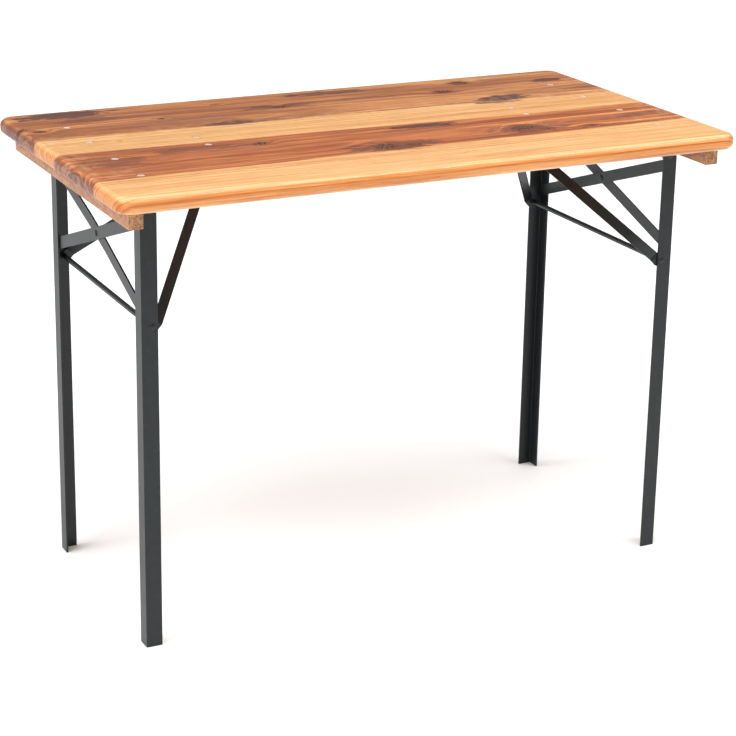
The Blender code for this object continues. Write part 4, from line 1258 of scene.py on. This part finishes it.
def make_surround(strength):
    """A white room: soft light from overhead and from the left wall, and plain white to look at."""
    world = bpy.data.worlds.new("surround")
    world.use_nodes = True
    g = Graph(world.node_tree)
    across, _, upward = g.split(g.add("ShaderNodeTexCoord").outputs["Generated"])
    overhead = g.times(g.step(upward, 0.30, 0.85), 1.06)
    wall = g.times(g.step(g.times(across, -1.0), 0.15, 0.80), 1.25)
    level = g.times(g.plus(g.plus(0.06, wall), overhead), strength)
    seen = g.add("ShaderNodeLightPath").outputs["Is Camera Ray"]
    g.fill(world.node_tree.nodes["Background"], {
        "Color": (1, 1, 1, 1), "Strength": g.math("MAXIMUM", level, seen),
    })
    return world


def make_stage():
    stage = settings("stage")
    scene = bpy.context.scene
    scene.view_settings.view_transform = "Standard"
    bm = bmesh.new()
    bmesh.ops.create_grid(bm, x_segments=1, y_segments=1, size=30)
    floor = temporary(bm, "floor")
    mat, g, shader, place = new_material("studio_floor")
    low = tuple(c * 0.985 for c in stage.floor)
    colour = g.mix(g.noise(place, 2.0), low, tuple(stage.floor))
    g.fill(shader, {"Base Color": colour, "Roughness": 0.6})
    floor.data.materials.append(mat)
    scene.world = make_surround(stage.sky)
    key_light(stage.key_strength, stage.key_spread)
    strip_light(stage.strip_power)
    make_camera()


# ---- operators and panel ----------------------------------------------------------------------------
class TABLE_OT_boards(bpy.types.Operator):
    """Make the four lacquered boards of the top"""

    bl_idname = "table.boards"
    bl_label = "Boards"
    bl_options = {"REGISTER", "UNDO"}

    def execute(self, context):
        make_boards()
        return {"FINISHED"}


class TABLE_OT_battens(bpy.types.Operator):
    """Make the two sawn battens"""

    bl_idname = "table.battens"
    bl_label = "Battens"
    bl_options = {"REGISTER", "UNDO"}

    def execute(self, context):
        make_battens()
        return {"FINISHED"}


class TABLE_OT_screws(bpy.types.Operator):
    """Make the screws in the battens"""

    bl_idname = "table.screws"
    bl_label = "Batten Screws"
    bl_options = {"REGISTER", "UNDO"}

    def execute(self, context):
        make_screws()
        return {"FINISHED"}


class TABLE_OT_top_rivets(bpy.types.Operator):
    """Make the flush rivets in the top"""

    bl_idname = "table.top_rivets"
    bl_label = "Top Rivets"
    bl_options = {"REGISTER", "UNDO"}

    def execute(self, context):
        make_top_rivets()
        return {"FINISHED"}


class TABLE_OT_legs(bpy.types.Operator):
    """Make the four angle-iron legs"""

    bl_idname = "table.legs"
    bl_label = "Legs"
    bl_options = {"REGISTER", "UNDO"}

    def execute(self, context):
        make_legs()
        return {"FINISHED"}


class TABLE_OT_braces(bpy.types.Operator):
    """Make the crossed bars of both frames"""

    bl_idname = "table.braces"
    bl_label = "Braces"
    bl_options = {"REGISTER", "UNDO"}

    def execute(self, context):
        make_braces()
        return {"FINISHED"}


class TABLE_OT_rods(bpy.types.Operator):
    """Make the tie rods, brace rivets and hinge pivots"""

    bl_idname = "table.rods"
    bl_label = "Rods and Pivots"
    bl_options = {"REGISTER", "UNDO"}

    def execute(self, context):
        make_rods()
        return {"FINISHED"}


class TABLE_OT_struts(bpy.types.Operator):
    """Make the strut arms and their cross pins"""

    bl_idname = "table.struts"
    bl_label = "Struts"
    bl_options = {"REGISTER", "UNDO"}

    def execute(self, context):
        make_struts()
        return {"FINISHED"}


class TABLE_OT_hinges(bpy.types.Operator):
    """Make the four hinge plates"""

    bl_idname = "table.hinges"
    bl_label = "Hinge Plates"
    bl_options = {"REGISTER", "UNDO"}

    def execute(self, context):
        make_hinges()
        return {"FINISHED"}


class TABLE_OT_catches(bpy.types.Operator):
    """Make the hook plates, levers, pins and springs"""

    bl_idname = "table.catches"
    bl_label = "Catches"
    bl_options = {"REGISTER", "UNDO"}

    def execute(self, context):
        make_catches()
        return {"FINISHED"}


class TABLE_OT_stage(bpy.types.Operator):
    """Make the floor, light and camera"""

    bl_idname = "table.stage"
    bl_label = "Stage"
    bl_options = {"REGISTER", "UNDO"}

    def execute(self, context):
        make_stage()
        return {"FINISHED"}


OPERATORS = (
    TABLE_OT_boards, TABLE_OT_battens, TABLE_OT_screws, TABLE_OT_top_rivets, TABLE_OT_legs, TABLE_OT_braces,
    TABLE_OT_rods, TABLE_OT_struts, TABLE_OT_hinges, TABLE_OT_catches, TABLE_OT_stage,
)


class TABLE_PT_panel(bpy.types.Panel):
    """Lists the table's settings and operators."""

    bl_label = "Folding Table"
    bl_idname = "TABLE_PT_panel"
    bl_space_type = "VIEW_3D"
    bl_region_type = "UI"
    bl_category = "Table"

    def draw(self, context):
        for name in ("wood", "steel", "stage"):
            group = settings(name)
            box = self.layout.box()
            box.label(text=name.capitalize())
            for key in group.__annotations__:
                box.prop(group, key)
        for made in OPERATORS:
            self.layout.operator(made.bl_idname)


SETTINGS = {"wood": WoodSettings, "steel": SteelSettings, "stage": StageSettings}


def register():
    for name, group in SETTINGS.items():
        bpy.utils.register_class(group)
        setattr(bpy.types.Scene, "table_" + name, bpy.props.PointerProperty(type=group))
    for made in OPERATORS:
        bpy.utils.register_class(made)
    bpy.utils.register_class(TABLE_PT_panel)


def unregister():
    bpy.utils.unregister_class(TABLE_PT_panel)
    for made in reversed(OPERATORS):
        bpy.utils.unregister_class(made)
    for name, group in SETTINGS.items():
        delattr(bpy.types.Scene, "table_" + name)
        bpy.utils.unregister_class(group)


def main():
    register()
    for made in OPERATORS:
        name = made.bl_idname.split(".")[1]
        result = getattr(bpy.ops.table, name)()
        if result != {"FINISHED"}:
            raise RuntimeError(f"the {name} operator did not finish")


if __name__ == "__main__":
    main()
